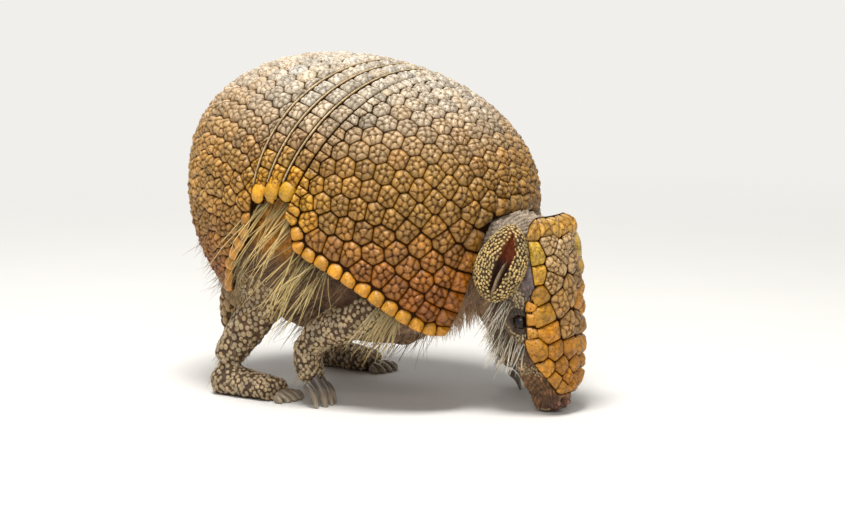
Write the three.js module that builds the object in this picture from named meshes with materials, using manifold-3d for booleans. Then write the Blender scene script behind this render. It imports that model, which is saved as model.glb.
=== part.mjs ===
// A southern three-banded armadillo at life size, walking with its nose to the ground.
// Millimetres. +X points towards the head, +Y to the animal's left, +Z up, and the floor is z = 0.
import * as THREE from "three";
import { mergeVertices } from "three/addons/utils/BufferGeometryUtils.js";
import Module from "manifold-3d";

const wasm = await Module();
wasm.setup();

const { sin, cos, abs, min, max, PI } = Math;
const { degToRad, lerp, smoothstep } = THREE.MathUtils;
const vec = (x, y, z) => new THREE.Vector3(x, y, z);
const Y_AXIS = vec(0, 1, 0);

// ---------------------------------------------------------------- driving dimensions
const GAP = 0.35; // clearance between neighbouring pieces
const PLATE = 2.4; // thickness of the bony shields and bands

// The carapace is a rounded dome about its widest level, longer in front than behind.
const DOME = {
  centre: vec(0, 0, 82),
  front: 75,
  rear: 73,
  side: 57,
  top: 51,
  lowFront: 84,
  lowRear: 66,
  squareness: 2.15,
  frontSquareness: 2.9, // of the low front, around the shoulders
  pitch: 10, // degrees, head end down
};

// Transverse arches fan out from a pivot line low under the belly and are carried out to the dome.
// The whole fan is pitched forward, as the animal carries its head end low.
const FAN = { drop: 62, reachX: 85, reachY: 57, reachZ: 113, pitch: 20 };

// Lean of an arch is 0 upright and positive towards the head; spread is the angle out from the midline.
const ARCH = {
  bandCount: 3,
  bandsFrom: -8,
  bandsTo: 7,
  frontSweep: 2, // how far the first and the last arch swing back at their lateral ends
  rearSweep: 7,
  bandSpread: 59,
  slit: 0.05, // share of a band left open at each of its edges
};
// A shield runs from the bands at u = 0 to its free edge at u = 1, its corners rounded from cornerFrom on.
const SCAPULAR = { napeLean: 45.5, lobeLean: 70, spread: 64, cornerFrom: 0.2, cornerCut: 0.56 };
const CORNER = 1.7; // 1 cuts the corners straight off, 2 rounds them as an ellipse
const PELVIC = {
  tailLean: -92,
  rearLean: -110,
  lobeLean: -110,
  spread: 77,
  cornerFrom: 0.5,
  cornerCut: 0.16,
};

// The trunk fills the carapace and hangs below its edge as the belly.
const TRUNK = {
  slack: 0.8, // beyond the usual gap, under the shields
  stations: [
    { at: [-56, 0, 62], wide: 32, deep: 32 },
    { at: [-35, 0, 71], wide: 47, deep: 49 },
    { at: [0, 0, 75], wide: 52, deep: 56 },
    { at: [30, 0, 72], wide: 49, deep: 53 },
    { at: [51, 0, 68], wide: 33, deep: 37 },
  ],
};
const NECK = {
  stations: [
    { at: [50, 0, 66], wide: 27, deep: 26 },
    { at: [62, 0, 64], wide: 21, deep: 17.5 },
    { at: [73, 0, 62.5], wide: 17.4, deep: 16 },
    { at: [82, 0, 61.5], wide: 16, deep: 14.6 },
  ],
};

// The head hangs upright, forehead forwards, with the nose on the floor.
const HEAD = {
  square: 2.8,
  stations: [
    { at: [80.5, 0, 66.5], wide: 14, deep: 10.4 },
    { at: [82, 0, 56], wide: 17.8, deep: 14.6 },
    { at: [82.6, 0, 42], wide: 17.4, deep: 14.3 },
    { at: [85, 0, 27], wide: 14, deep: 12.2 },
    { at: [88.2, 0, 13], wide: 8.6, deep: 9.2 },
    { at: [90, 0, 3], wide: 6, deep: 7.6 },
  ],
};
const JAW = {
  stations: [
    { at: [75.5, 0, 32], wide: 8.6, deep: 5.4 },
    { at: [79.4, 0, 16], wide: 6.8, deep: 5 },
    { at: [83.8, 0, 6], wide: 4.4, deep: 3 },
  ],
};
// Down the forehead: height, how far forward the middle stands, and half width.
const HEAD_SHIELD = {
  thickness: 2,
  sag: 5.6, // how far its side edges lie behind its middle
  stations: [
    [76.6, 91.2, 8],
    [74.2, 93.4, 14],
    [68, 95.6, 17.4],
    [56, 97.5, 18.7],
    [42, 98.4, 19.4],
    [30, 99, 19.2],
    [22, 99.3, 16.8],
    [14, 99.4, 12.6],
    [8, 98.8, 6.5],
  ],
};
const EYE = { at: [84.4, 14.2, 36.9], radius: 3.5 };
const EAR = {
  at: [80.8, 22.4, 60],
  halfSizes: [9.6, 5.6, 15.6],
  lean: 15, // degrees, tip forwards
  turn: -14, // degrees, opening turned forwards
  slit: { at: [0.6, 5.2, -2], halfSizes: [3.2, 3.4, 11.5], lean: 8 },
  leftDrop: 2.6, // the left ear is let down a little and folded shorter
  leftShare: 0.87,
};
const TAIL = {
  stations: [
    { at: [-49, 0, 50], wide: 11, deep: 11 },
    { at: [-58, 1, 41], wide: 9.5, deep: 9.5 },
    { at: [-64, 3, 29], wide: 7.4, deep: 7.4 },
    { at: [-66, 5, 17], wide: 5.4, deep: 5.4 },
    { at: [-64.5, 6.5, 8], wide: 3.4, deep: 3.4 },
  ],
};

// Limbs as the right side has them; the left is the same with y reversed and its own stride.
const FORE_RIGHT = {
  upperArm: [
    { at: [48, 26, 62], wide: 10, deep: 12 },
    { at: [44, 30, 52], wide: 9, deep: 10.6 },
    { at: [37, 35, 43], wide: 7.8, deep: 8.8 },
  ],
  forearm: [
    { at: [34, 37, 40], wide: 7.4, deep: 8 },
    { at: [20, 40, 34], wide: 7.2, deep: 7.4 },
    { at: [6, 41, 27], wide: 6.2, deep: 6.2 },
  ],
  foot: [
    { at: [3.2, 41, 24], wide: 6.2, deep: 5.6 },
    { at: [2.4, 40.5, 17.5], wide: 6.8, deep: 4.8 },
    { at: [4, 40, 12], wide: 7.4, deep: 3.8 },
  ],
  claws: { from: [4.6, 40, 12.6], to: [12.4, 40, 0.1] },
};
const FORE_LEFT = {
  upperArm: [
    { at: [48, 26, 62], wide: 10, deep: 12 },
    { at: [43, 30, 52], wide: 9, deep: 10.6 },
    { at: [36, 35, 43], wide: 7.8, deep: 8.8 },
  ],
  forearm: [
    { at: [35, 37, 39], wide: 7.4, deep: 8 },
    { at: [38, 38.5, 31], wide: 7.2, deep: 7.2 },
    { at: [42, 39.5, 24], wide: 6.2, deep: 6.2 },
  ],
  foot: [
    { at: [43, 41, 20], wide: 6.2, deep: 5.6 },
    { at: [43.6, 40.5, 15.5], wide: 6.8, deep: 4.8 },
    { at: [46, 40, 10.5], wide: 7.4, deep: 3.8 },
  ],
  claws: { from: [47, 40, 11], to: [55.4, 40, 0.1] },
};
const HIND_RIGHT = {
  thigh: [
    { at: [-36, 22, 60], wide: 11, deep: 17 },
    { at: [-30, 28, 50], wide: 10, deep: 14 },
    { at: [-23, 33, 41], wide: 8.4, deep: 10 },
  ],
  shank: [
    { at: [-23, 34, 37], wide: 7.6, deep: 8.4 },
    { at: [-31, 36, 26], wide: 6.8, deep: 7.6 },
    { at: [-39, 37, 15], wide: 5.6, deep: 5.8 },
  ],
  foot: [
    { at: [-41, 38.5, 5.4], wide: 5.8, deep: 6.4 },
    { at: [-27, 38.5, 4.6], wide: 7.2, deep: 5.8 },
    { at: [-15, 38.5, 3.7], wide: 8, deep: 4.8 },
  ],
  claws: { from: [-11.5, 38.5, 3.2], to: [-4.6, 38.5, 0.6] },
};
const HIND_LEFT_BACK = 8; // how far the left hind limb stands behind the right
// Claws across each foot, from the inner to the outer: offset outwards, length share and half width.
const FORE_CLAWS = [
  [-6.4, 0.62, 1.4],
  [-2.4, 0.9, 1.8],
  [2.2, 1, 2.2],
  [6.6, 0.7, 1.6],
];
const HIND_CLAWS = [
  [-7.2, 0.5, 1.3],
  [-4, 0.9, 1.9],
  [0, 1, 2.2],
  [4, 0.9, 1.9],
  [7.2, 0.5, 1.3],
];

// ---------------------------------------------------------------- solids and meshes
/** A closed geometry as a manifold-3d solid. */
function solidOf(geometry) {
  const bare = geometry.clone();
  for (const name of Object.keys(bare.attributes)) if (name !== "position") bare.deleteAttribute(name);
  const merged = mergeVertices(bare, 1e-4);
  const corners = merged.index.array;
  const triVerts = [];
  for (let i = 0; i < corners.length; i += 3) {
    const [a, b, c] = [corners[i], corners[i + 1], corners[i + 2]];
    if (a !== b && b !== c && c !== a) triVerts.push(a, b, c);
  }
  const solid = new wasm.Manifold(
    new wasm.Mesh({
      numProp: 3,
      vertProperties: new Float32Array(merged.attributes.position.array),
      triVerts: new Uint32Array(triVerts),
    }),
  );
  if (solid.volume() > 0) return solid;
  throw new Error("a solid's faces point inwards");
}

/** A solid as a named mesh. */
function meshOf(name, solid, material) {
  const made = solid.getMesh();
  const geometry = new THREE.BufferGeometry();
  geometry.setAttribute("position", new THREE.BufferAttribute(new Float32Array(made.vertProperties), 3));
  geometry.setIndex(new THREE.BufferAttribute(new Uint32Array(made.triVerts), 1));
  geometry.computeVertexNormals();
  const mesh = new THREE.Mesh(geometry, material);
  mesh.name = name;
  return mesh;
}

/** Joins rings of points into a closed geometry; the first and last rings are single points. */
function skinRings(rings) {
  const points = rings.flat();
  const starts = rings.reduce((list, ring) => [...list, list.at(-1) + ring.length], [0]);
  const index = [];
  for (let r = 0; r + 1 < rings.length; r++) {
    const [low, high] = [rings[r], rings[r + 1]];
    const count = max(low.length, high.length);
    const lowAt = (i) => starts[r] + (i % low.length);
    const highAt = (i) => starts[r + 1] + (i % high.length);
    for (let i = 0; i < count; i++) {
      if (low.length > 1) index.push(lowAt(i), lowAt(i + 1), highAt(i));
      if (high.length > 1) index.push(lowAt(i + 1), highAt(i + 1), highAt(i));
    }
  }
  const geometry = new THREE.BufferGeometry().setFromPoints(points);
  geometry.setIndex(index);
  return geometry;
}

/**
 * A body swept through oval stations, with domed ends. Each station has its centre, its half width across and
 * its half depth. grow fattens the body all round, to cut its neighbours back, and square makes its ovals
 * boxier.
 */
function sweptBody(stations, options = {}) {
  const { sides = 14, steps = 3, caps = 2, capDepth = 0.7, grow = 0, square = 2 } = options;
  const spine = new THREE.CatmullRomCurve3(stations.map((s) => vec(...s.at)));
  const sizes = new THREE.CatmullRomCurve3(stations.map((s) => vec(s.wide, s.deep, 0)));
  const count = (stations.length - 1) * steps;
  const ringAt = (t, along, shrink) => {
    const tangent = spine.getTangent(t).normalize();
    const wideAxis = Y_AXIS.clone().addScaledVector(tangent, -Y_AXIS.dot(tangent)).normalize();
    const deepAxis = tangent.clone().cross(wideAxis);
    const size = sizes.getPoint(t);
    const centre = spine.getPoint(t).addScaledVector(tangent, along);
    return Array.from({ length: sides }, (_, i) => {
      const turn = (2 * PI * (i + 0.5)) / sides;
      const round = shrink / (abs(cos(turn)) ** square + abs(sin(turn)) ** square) ** (1 / square);
      return centre
        .clone()
        .addScaledVector(wideAxis, cos(turn) * round * (size.x + grow))
        .addScaledVector(deepAxis, sin(turn) * round * (size.y + grow));
    });
  };
  const tipAt = (t, along) => [spine.getPoint(t).addScaledVector(spine.getTangent(t).normalize(), along)];
  const reachOf = (station) => capDepth * min(station.wide, station.deep) + grow;
  const capRings = (t, reach) =>
    Array.from({ length: caps - 1 }, (_, c) => ((c + 1) / caps) * (PI / 2)).map((rise) =>
      ringAt(t, reach * sin(rise), cos(rise)),
    );
  const [startReach, endReach] = [-reachOf(stations[0]), reachOf(stations.at(-1))];
  const rings = [
    tipAt(0, startReach),
    ...capRings(0, startReach).reverse(),
    ...Array.from({ length: count + 1 }, (_, i) => ringAt(i / count, 0, 1)),
    ...capRings(1, endReach),
    tipAt(1, endReach),
  ];
  return solidOf(skinRings(rings));
}

/** A thick sheet: pointAt(u, v, depth) gives its outer face at depth 0 and its inner face at depth 1. */
function thickSheet(pointAt, columns, rows) {
  const points = [];
  for (const depth of [0, 1])
    for (let i = 0; i <= columns; i++)
      for (let j = 0; j <= rows; j++) points.push(pointAt(i / columns, (2 * j) / rows - 1, depth));
  const at = (depth, i, j) => depth * (columns + 1) * (rows + 1) + i * (rows + 1) + j;
  const index = [];
  const quad = (a, b, c, d) => index.push(a, b, c, a, c, d);
  for (let i = 0; i < columns; i++)
    for (let j = 0; j < rows; j++) {
      quad(at(0, i, j), at(0, i + 1, j), at(0, i + 1, j + 1), at(0, i, j + 1));
      quad(at(1, i, j), at(1, i, j + 1), at(1, i + 1, j + 1), at(1, i + 1, j));
    }
  for (let i = 0; i < columns; i++) {
    quad(at(0, i, 0), at(1, i, 0), at(1, i + 1, 0), at(0, i + 1, 0));
    quad(at(0, i, rows), at(0, i + 1, rows), at(1, i + 1, rows), at(1, i, rows));
  }
  for (let j = 0; j < rows; j++) {
    quad(at(0, 0, j), at(0, 0, j + 1), at(1, 0, j + 1), at(1, 0, j));
    quad(at(0, columns, j), at(1, columns, j), at(1, columns, j + 1), at(0, columns, j + 1));
  }
  const geometry = new THREE.BufferGeometry().setFromPoints(points);
  geometry.setIndex(index);
  return solidOf(geometry);
}

// ---------------------------------------------------------------- carapace
/** Carries a point out or in, straight from the dome's centre, to the dome inset by some millimetres. */
function onDome(point, inset = 0) {
  const tilt = degToRad(DOME.pitch);
  const d = point.clone().sub(DOME.centre).applyAxisAngle(Y_AXIS, -tilt);
  const forward = smoothstep(d.x / d.length(), -0.7, 0.7);
  const reachX = (d.x > 0 ? DOME.front : DOME.rear) - inset;
  const reachZ = (d.z > 0 ? DOME.top : lerp(DOME.lowRear, DOME.lowFront, forward)) - inset;
  const reachY = DOME.side - inset;
  const lowFront = forward * smoothstep(-d.z / d.length(), 0, 0.6);
  const n = lerp(DOME.squareness, DOME.frontSquareness, lowFront);
  const size = (abs(d.x / reachX) ** n + abs(d.y / reachY) ** n + abs(d.z / reachZ) ** n) ** (1 / n);
  return d.divideScalar(size).applyAxisAngle(Y_AXIS, tilt).add(DOME.centre);
}

/** The point of the shell on the arch of a lean at a spread, both in degrees, inset from its outer face. */
function shellPoint(lean, spread, inset) {
  const [a, b] = [degToRad(lean), degToRad(spread)];
  const guide = vec(
    FAN.reachX * sin(a) * cos(b),
    FAN.reachY * sin(b),
    FAN.reachZ * cos(a) * cos(b) - FAN.drop,
  );
  return onDome(guide.applyAxisAngle(Y_AXIS, degToRad(FAN.pitch)).add(DOME.centre), inset);
}

/** How wide a shield is at u along it, where its two free corners are rounded off from cornerFrom on. */
function cornerWidth(shield, u) {
  const t = max(0, (u - shield.cornerFrom) / (1 - shield.cornerFrom));
  return 1 - shield.cornerCut * (1 - max(0, 1 - t ** CORNER) ** (1 / CORNER));
}

/** Runs u evenly at first and then slows it down towards the rounded corners at u = 1. */
const easeIntoCorner = (u) => sin((u * PI) / 2);

/** Lean and spread on the scapular shield, from the bands at u = 0 to the nape at u = 1. */
function scapularAt(u, v) {
  const front = lerp(SCAPULAR.napeLean, SCAPULAR.lobeLean, smoothstep(abs(v), 0.4, 1.04));
  const rear = ARCH.bandsTo - ARCH.frontSweep * v * v;
  const reach = lerp(ARCH.bandSpread, SCAPULAR.spread, smoothstep(u, 0, 0.2));
  return [lerp(rear, front, u), v * cornerWidth(SCAPULAR, u) * reach];
}

/** Lean and spread on the pelvic shield, from the bands at u = 0 to the rim around the tail at u = 1. */
function pelvicAt(u, v) {
  const belowTail = lerp(PELVIC.tailLean, PELVIC.rearLean, smoothstep(abs(v), 0.08, 0.3));
  const rim = lerp(belowTail, PELVIC.lobeLean, smoothstep(abs(v), 0.4, 1));
  const front = ARCH.bandsFrom - ARCH.rearSweep * v * v;
  const reach = lerp(ARCH.bandSpread, PELVIC.spread, u ** 0.22);
  return [lerp(front, rim, u), v * cornerWidth(PELVIC, u) * reach];
}

/** Lean and spread on band number k, counted from the scapular shield backwards. */
function bandAt(k, u, v) {
  const back = (k + lerp(ARCH.slit, 1 - ARCH.slit, u)) / ARCH.bandCount;
  const atMidline = lerp(ARCH.bandsTo, ARCH.bandsFrom, back);
  return [atMidline - lerp(ARCH.frontSweep, ARCH.rearSweep, back) * v * v, v * ARCH.bandSpread];
}

/** A shield or band as a solid plate; at(u, v) gives its lean and spread. */
function carapacePlate(at, columns, rows, { flip = false, grow = 0 } = {}) {
  return thickSheet(
    (u, v, depth) => {
      const [lean, spread] = at(u, flip ? -v : v);
      return shellPoint(lean, spread, depth ? PLATE + grow : -grow);
    },
    columns,
    rows,
  );
}

/** The inside of the carapace as a solid, this far in from its outer face. */
function shellCore(inset) {
  const ball = new THREE.SphereGeometry(1, 28, 18);
  const { position } = ball.attributes;
  for (let i = 0; i < position.count; i++) {
    const direction = vec(0, 0, 0).fromBufferAttribute(position, i);
    position.setXYZ(i, ...onDome(direction.add(DOME.centre), inset));
  }
  return solidOf(ball);
}

// ---------------------------------------------------------------- head
/** A smooth value through a list of rows at t from 0 to 1; column picks the value. */
function alongRows(rows, column) {
  const curve = new THREE.CatmullRomCurve3(rows.map((row) => vec(row[column], 0, 0)));
  return (t) => curve.getPoint(t).x;
}

/** The head shield, bowed across the forehead. As a cutter it grows all round and reaches out in front. */
function headShield({ grow = 0, reach = 0 } = {}) {
  const [height, front, half] = [0, 1, 2].map((column) => alongRows(HEAD_SHIELD.stations, column));
  const widest = max(...HEAD_SHIELD.stations.map((row) => row[2]));
  const sheet = (t, v, depth) => {
    const y = v * (half(t) + grow);
    const x = front(t) - HEAD_SHIELD.sag * (y / widest) ** 2;
    const z = height(t) + grow * (1 - 2 * t);
    return vec(x + (depth ? -HEAD_SHIELD.thickness - grow : grow + reach), y, z);
  };
  return thickSheet(sheet, 11, 7);
}

/** One ear: a leaning egg with the slit of its opening let into the outer face. */
function earSolid(side) {
  const place = new THREE.Matrix4()
    .makeTranslation(EAR.at[0], side * EAR.at[1], EAR.at[2] - (side > 0 ? EAR.leftDrop : 0))
    .multiply(new THREE.Matrix4().makeRotationZ(side * degToRad(EAR.turn)))
    .multiply(new THREE.Matrix4().makeRotationY(degToRad(EAR.lean)))
    .multiply(new THREE.Matrix4().makeScale(1, 1, side > 0 ? EAR.leftShare : 1));
  const [x, y, z] = EAR.slit.at;
  const body = new THREE.SphereGeometry(1, 12, 8).scale(...EAR.halfSizes);
  const slit = new THREE.SphereGeometry(1, 8, 6).scale(...EAR.slit.halfSizes);
  slit.rotateY(degToRad(EAR.slit.lean)).translate(x, side * y, z);
  return solidOf(body.applyMatrix4(place)).subtract(solidOf(slit.applyMatrix4(place)));
}

/** An eyeball, or the socket it needs. */
function eyeBall(side, grow = 0) {
  const ball = new THREE.SphereGeometry(EYE.radius + grow, 10, 7);
  return solidOf(ball.translate(EYE.at[0], side * EYE.at[1], EYE.at[2]));
}

// ---------------------------------------------------------------- limbs
/** Stations moved to one side of the animal. */
const onSide = (stations, side) => stations.map((s) => ({ ...s, at: [s.at[0], side * s.at[1], s.at[2]] }));

/** A hind limb whose foot stands further back, while its hip stays in place. */
function setBack({ thigh, shank, foot, claws }, back) {
  const moved = ([x, y, z], share = 1) => [x - back * share, y, z];
  return {
    thigh: thigh.map((s, i) => ({ ...s, at: moved(s.at, i / (thigh.length - 1)) })),
    shank: shank.map((s) => ({ ...s, at: moved(s.at) })),
    foot: foot.map((s) => ({ ...s, at: moved(s.at) })),
    claws: { from: moved(claws.from), to: moved(claws.to) },
  };
}

/** One claw from its base to its tip, offset outwards across the foot. */
function clawSolid({ from, to }, [offset, share, half], side, flat) {
  const [start, end] = [vec(...from), vec(...to)].map((p) => vec(p.x, side * (p.y + offset), p.z));
  const shortBy = end.clone().sub(start).multiplyScalar(1 - share);
  start.add(vec(shortBy.x * 0.4, 0, shortBy.z));
  end.sub(vec(shortBy.x * 0.6, 0, 0));
  const middle = start.clone().lerp(end, 0.5).add(flat ? vec(0, 0, 0.5) : vec(1.1, 0, 0.9));
  const station = (p, wide, deep) => ({ at: p.toArray(), wide, deep });
  const stations = [
    station(start, half, flat ? 1.9 : half * 1.2),
    station(middle, half, flat ? 1.7 : half),
    station(end, half * (flat ? 0.8 : 0.4), flat ? 1.1 : half * 0.4),
  ];
  return sweptBody(stations, { sides: 6, steps: flat ? 1 : 2, caps: 1, capDepth: 0.4 });
}

// ---------------------------------------------------------------- assembly
const material = (color, roughness) => new THREE.MeshStandardMaterial({ color, roughness, metalness: 0 });
const scute = material(0xb07a35, 0.55);
const skin = material(0x9c8270, 0.75);
const scaly = material(0x8f7a5c, 0.7);
const horn = material(0x6f5f4c, 0.45);
const wetEye = material(0x14100d, 0.1);

const floor = solidOf(new THREE.BoxGeometry(400, 300, 60).translate(0, 0, -30));
const armadillo = new THREE.Group();
/** Adds a solid as a named piece, cut clear of the solids it meets and of the floor. */
function add(name, solid, look, cutters = []) {
  const cut = cutters.reduce((left, cutter) => left.subtract(cutter), solid).subtract(floor);
  armadillo.add(meshOf(name, cut, look));
}

const scapular = (grow) => carapacePlate((u, v) => scapularAt(easeIntoCorner(u), v), 11, 18, { grow });
const pelvic = (grow) =>
  carapacePlate((u, v) => pelvicAt(easeIntoCorner(u), v), 11, 18, { grow, flip: true });
add("scapular_shield", scapular(0), scute);
add("pelvic_shield", pelvic(0), scute);
for (let k = 0; k < ARCH.bandCount; k++)
  add(`band_${k + 1}`, carapacePlate((u, v) => bandAt(k, u, v), 2, 18, { flip: true }), scute);

const coreAt = (grow) => shellCore(PLATE + GAP + TRUNK.slack - grow);
const bodyAt = (part, sides, grow, more) => sweptBody(part.stations, { sides, steps: 2, grow, ...more });
const trunkAt = (grow) => bodyAt(TRUNK, 14, grow, { capDepth: 0.5 }).intersect(coreAt(grow));
const neckAt = (grow) => bodyAt(NECK, 12, grow);
const headAt = (grow) => bodyAt(HEAD, 16, grow, { square: HEAD.square, capDepth: 0.55 });
const jawAt = (grow) => bodyAt(JAW, 10, grow);
const socketed = [1, -1].map((side) => eyeBall(side, GAP));

add("trunk", trunkAt(0), skin);
add("neck", neckAt(0), skin, [trunkAt(GAP), headAt(GAP), scapular(GAP)]);
add("head", headAt(0), skin, [trunkAt(GAP), headShield({ grow: GAP, reach: 12 }), jawAt(GAP), ...socketed]);
add("jaw", jawAt(0), skin);
add("head_shield", headShield(), scute);
add("tail", bodyAt(TAIL, 9, 0), scaly, [trunkAt(GAP), pelvic(GAP)]);

for (const [sideName, side, fore, hind] of [
  ["right", -1, FORE_RIGHT, HIND_RIGHT],
  ["left", 1, FORE_LEFT, setBack(HIND_RIGHT, HIND_LEFT_BACK)],
]) {
  const limb = (part, grow = 0) => sweptBody(onSide(part, side), { sides: 10, steps: 2, grow });
  add(`eye_${sideName}`, eyeBall(side), wetEye);
  add(`ear_${sideName}`, earSolid(side), skin, [headAt(GAP), neckAt(GAP)]);
  add(`upper_arm_${sideName}`, limb(fore.upperArm).intersect(coreAt(0)), scaly, [trunkAt(GAP)]);
  add(`forearm_${sideName}`, limb(fore.forearm), scaly, [trunkAt(GAP), limb(fore.upperArm, GAP)]);
  add(`forefoot_${sideName}`, limb(fore.foot), scaly, [limb(fore.forearm, GAP)]);
  add(`thigh_${sideName}`, limb(hind.thigh).intersect(coreAt(0)), scaly, [trunkAt(GAP)]);
  add(`shank_${sideName}`, limb(hind.shank), scaly, [trunkAt(GAP), limb(hind.thigh, GAP)]);
  add(`hindfoot_${sideName}`, limb(hind.foot), scaly, [limb(hind.shank, GAP)]);
  for (const [end, { foot, claws }, sizes, flat] of [
    ["fore", fore, FORE_CLAWS, false],
    ["hind", hind, HIND_CLAWS, true],
  ])
    sizes.forEach((size, i) =>
      add(`${end}_claw_${sideName}_${i + 1}`, clawSolid(claws, size, side, flat), horn, [limb(foot, GAP)]),
    );
}

// The origin is on the floor, under the middle of the whole model.
const { min: low, max: high } = new THREE.Box3().setFromObject(armadillo);
armadillo.position.set(-(low.x + high.x) / 2, -(low.y + high.y) / 2, 0);

export default armadillo;
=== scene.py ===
"""A southern three-banded armadillo at life size, walking with its nose to the floor.

The frame is in metres. Sizes below are in millimetres from the drawing's own origin, a point on the floor
under the belly, and to_frame carries them over.
"""

import logging
import math
from dataclasses import dataclass, field
from enum import Enum
from typing import Callable, Sequence

import bpy
import numpy as np
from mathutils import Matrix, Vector, noise


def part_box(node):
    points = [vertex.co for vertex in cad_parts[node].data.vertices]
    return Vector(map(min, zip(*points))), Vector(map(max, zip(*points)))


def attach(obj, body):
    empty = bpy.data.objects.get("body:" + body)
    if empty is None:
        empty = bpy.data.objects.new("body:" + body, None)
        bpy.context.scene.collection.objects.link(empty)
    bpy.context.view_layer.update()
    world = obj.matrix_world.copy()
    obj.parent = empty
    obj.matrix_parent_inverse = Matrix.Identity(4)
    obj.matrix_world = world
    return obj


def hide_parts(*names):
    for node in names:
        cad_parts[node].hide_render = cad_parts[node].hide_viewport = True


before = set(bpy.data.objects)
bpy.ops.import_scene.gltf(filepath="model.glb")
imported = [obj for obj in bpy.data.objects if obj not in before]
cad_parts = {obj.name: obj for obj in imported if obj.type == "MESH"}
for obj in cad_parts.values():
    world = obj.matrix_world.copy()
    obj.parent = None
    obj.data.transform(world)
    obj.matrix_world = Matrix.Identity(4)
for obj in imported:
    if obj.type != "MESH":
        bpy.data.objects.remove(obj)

Array = np.ndarray
Chance = np.random.Generator
Piece = bpy.types.Object
Tree = bpy.types.NodeTree
Socket = bpy.types.NodeSocket
log = logging.getLogger("armadillo")

MM = 0.001
BODY = "root"
EYE_X = 84.4  # the drawn place of the eyes, which ties the drawing to the frame
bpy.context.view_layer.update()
SIDES = (("right", -1), ("left", 1))
BONE = "#6b4a2a"
WELD_GAP = 0.02  # vertices of a CAD node this near are one


# ---------------------------------------------------------------- numbers
def to_frame(points: Array) -> Array:
    """Carries points from drawn millimetres to the frame's metres.

    Args:
        points: places in millimetres, the last axis being x, y and z.

    Returns:
        The same places in metres.
    """
    low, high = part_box("eye_right")
    shift = (low[0] + high[0]) / 2 - EYE_X * MM
    return points * MM + np.array([shift, 0.0, 0.0])


def from_frame(points: Array) -> Array:
    """Carries points from the frame's metres back to drawn millimetres."""
    return (points - to_frame(np.zeros(3))) / MM


def smooth_step(value: Array, low: float, high: float) -> Array:
    """A smooth rise from 0 at low to 1 at high."""
    t = np.clip((value - low) / (high - low), 0.0, 1.0)
    return t * t * (3 - 2 * t)


def lerp(start: Array, end: Array, share: Array) -> Array:
    """The value a share of the way from start to end."""
    return start + (end - start) * share


def turn_about_y(points: Array, degrees: float) -> Array:
    """Points turned about the y axis.

    Args:
        points: the points, the last axis being x, y and z.
        degrees: how far they turn; a positive number lowers the front.

    Returns:
        The turned points.
    """
    turn = math.radians(degrees)
    x, y, z = points[..., 0], points[..., 1], points[..., 2]
    return np.stack(
        [x * math.cos(turn) + z * math.sin(turn), y, z * math.cos(turn) - x * math.sin(turn)], axis=-1
    )


def unit(vectors: Array) -> Array:
    """Vectors brought to length 1."""
    return vectors / np.maximum(np.linalg.norm(vectors, axis=-1, keepdims=True), 1e-9)


def srgb(code: str) -> Array:
    """A linear colour from an sRGB hex code such as #a8763a."""
    values = np.array([int(code[i : i + 2], 16) / 255 for i in (1, 3, 5)])
    return np.where(values <= 0.04045, values / 12.92, ((values + 0.055) / 1.055) ** 2.4)


def blend_colours(low: Array, high: Array, share: Array) -> Array:
    """A colour for each value of share, from low at 0 to high at 1."""
    return low + (high - low) * np.asarray(share)[..., None]


# ---------------------------------------------------------------- meshes
def make_piece(name: str, points: Array, *face_sets: Array) -> Piece:
    """Makes one mesh piece that rides on the body.

    Args:
        name: the piece's name.
        points: its vertices in drawn millimetres.
        face_sets: arrays of faces, each with one length of face.

    Returns:
        The new object, at the origin, shaded smooth.
    """
    corners = np.concatenate([faces.ravel() for faces in face_sets]).astype(np.int32)
    sizes = np.concatenate([np.full(len(faces), faces.shape[1]) for faces in face_sets])
    starts = np.concatenate([[0], np.cumsum(sizes)[:-1]]).astype(np.int32)
    mesh = bpy.data.meshes.new(name)
    mesh.vertices.add(len(points))
    mesh.vertices.foreach_set("co", to_frame(points).astype(np.float32).ravel())
    mesh.loops.add(len(corners))
    mesh.loops.foreach_set("vertex_index", corners)
    mesh.polygons.add(len(sizes))
    mesh.polygons.foreach_set("loop_start", starts)
    mesh.update(calc_edges=True)
    mesh.validate()
    mesh.shade_smooth()
    piece = bpy.data.objects.new(name, mesh)
    bpy.context.scene.collection.objects.link(piece)
    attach(piece, BODY)
    return piece


def make_like(name: str, points: Array, *face_sets: Array) -> Piece:
    """Makes one piece of many like shapes.

    Args:
        name: the piece's name.
        points: the vertices of each shape, one shape after another.
        face_sets: the faces of one shape.

    Returns:
        The new object.
    """
    starts = (np.arange(len(points)) * points.shape[1])[:, None, None]
    faces = [(one[None] + starts).reshape(-1, one.shape[1]) for one in face_sets]
    return make_piece(name, points.reshape(-1, 3), *faces)


def paint(piece: Piece, colours: Array, relief: Array | float, pitting: Array | float = 0.5) -> None:
    """Gives each vertex its tint, its relief and its pitting, which the finishes read.

    Args:
        piece: the piece.
        colours: linear colours, one for all or one a vertex.
        relief: 0 at the bottom of a groove and 1 on top.
        pitting: how closely dark pits stand, from 0 to 1.
    """
    mesh = piece.data
    channels = np.empty((len(mesh.vertices), 5), np.float32)
    channels[:, :3] = colours
    channels[:, 3] = pitting
    channels[:, 4] = np.ravel(relief)
    tint = mesh.attributes.new("tint", "FLOAT_COLOR", "POINT")
    tint.data.foreach_set("color", channels[:, :4].ravel())
    depth = mesh.attributes.new("relief", "FLOAT", "POINT")
    depth.data.foreach_set("value", channels[:, 4].copy())


def triangles_of(piece: Piece) -> int:
    """The number of triangles in a piece's mesh."""
    piece.data.calc_loop_triangles()
    return len(piece.data.loop_triangles)


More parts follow.
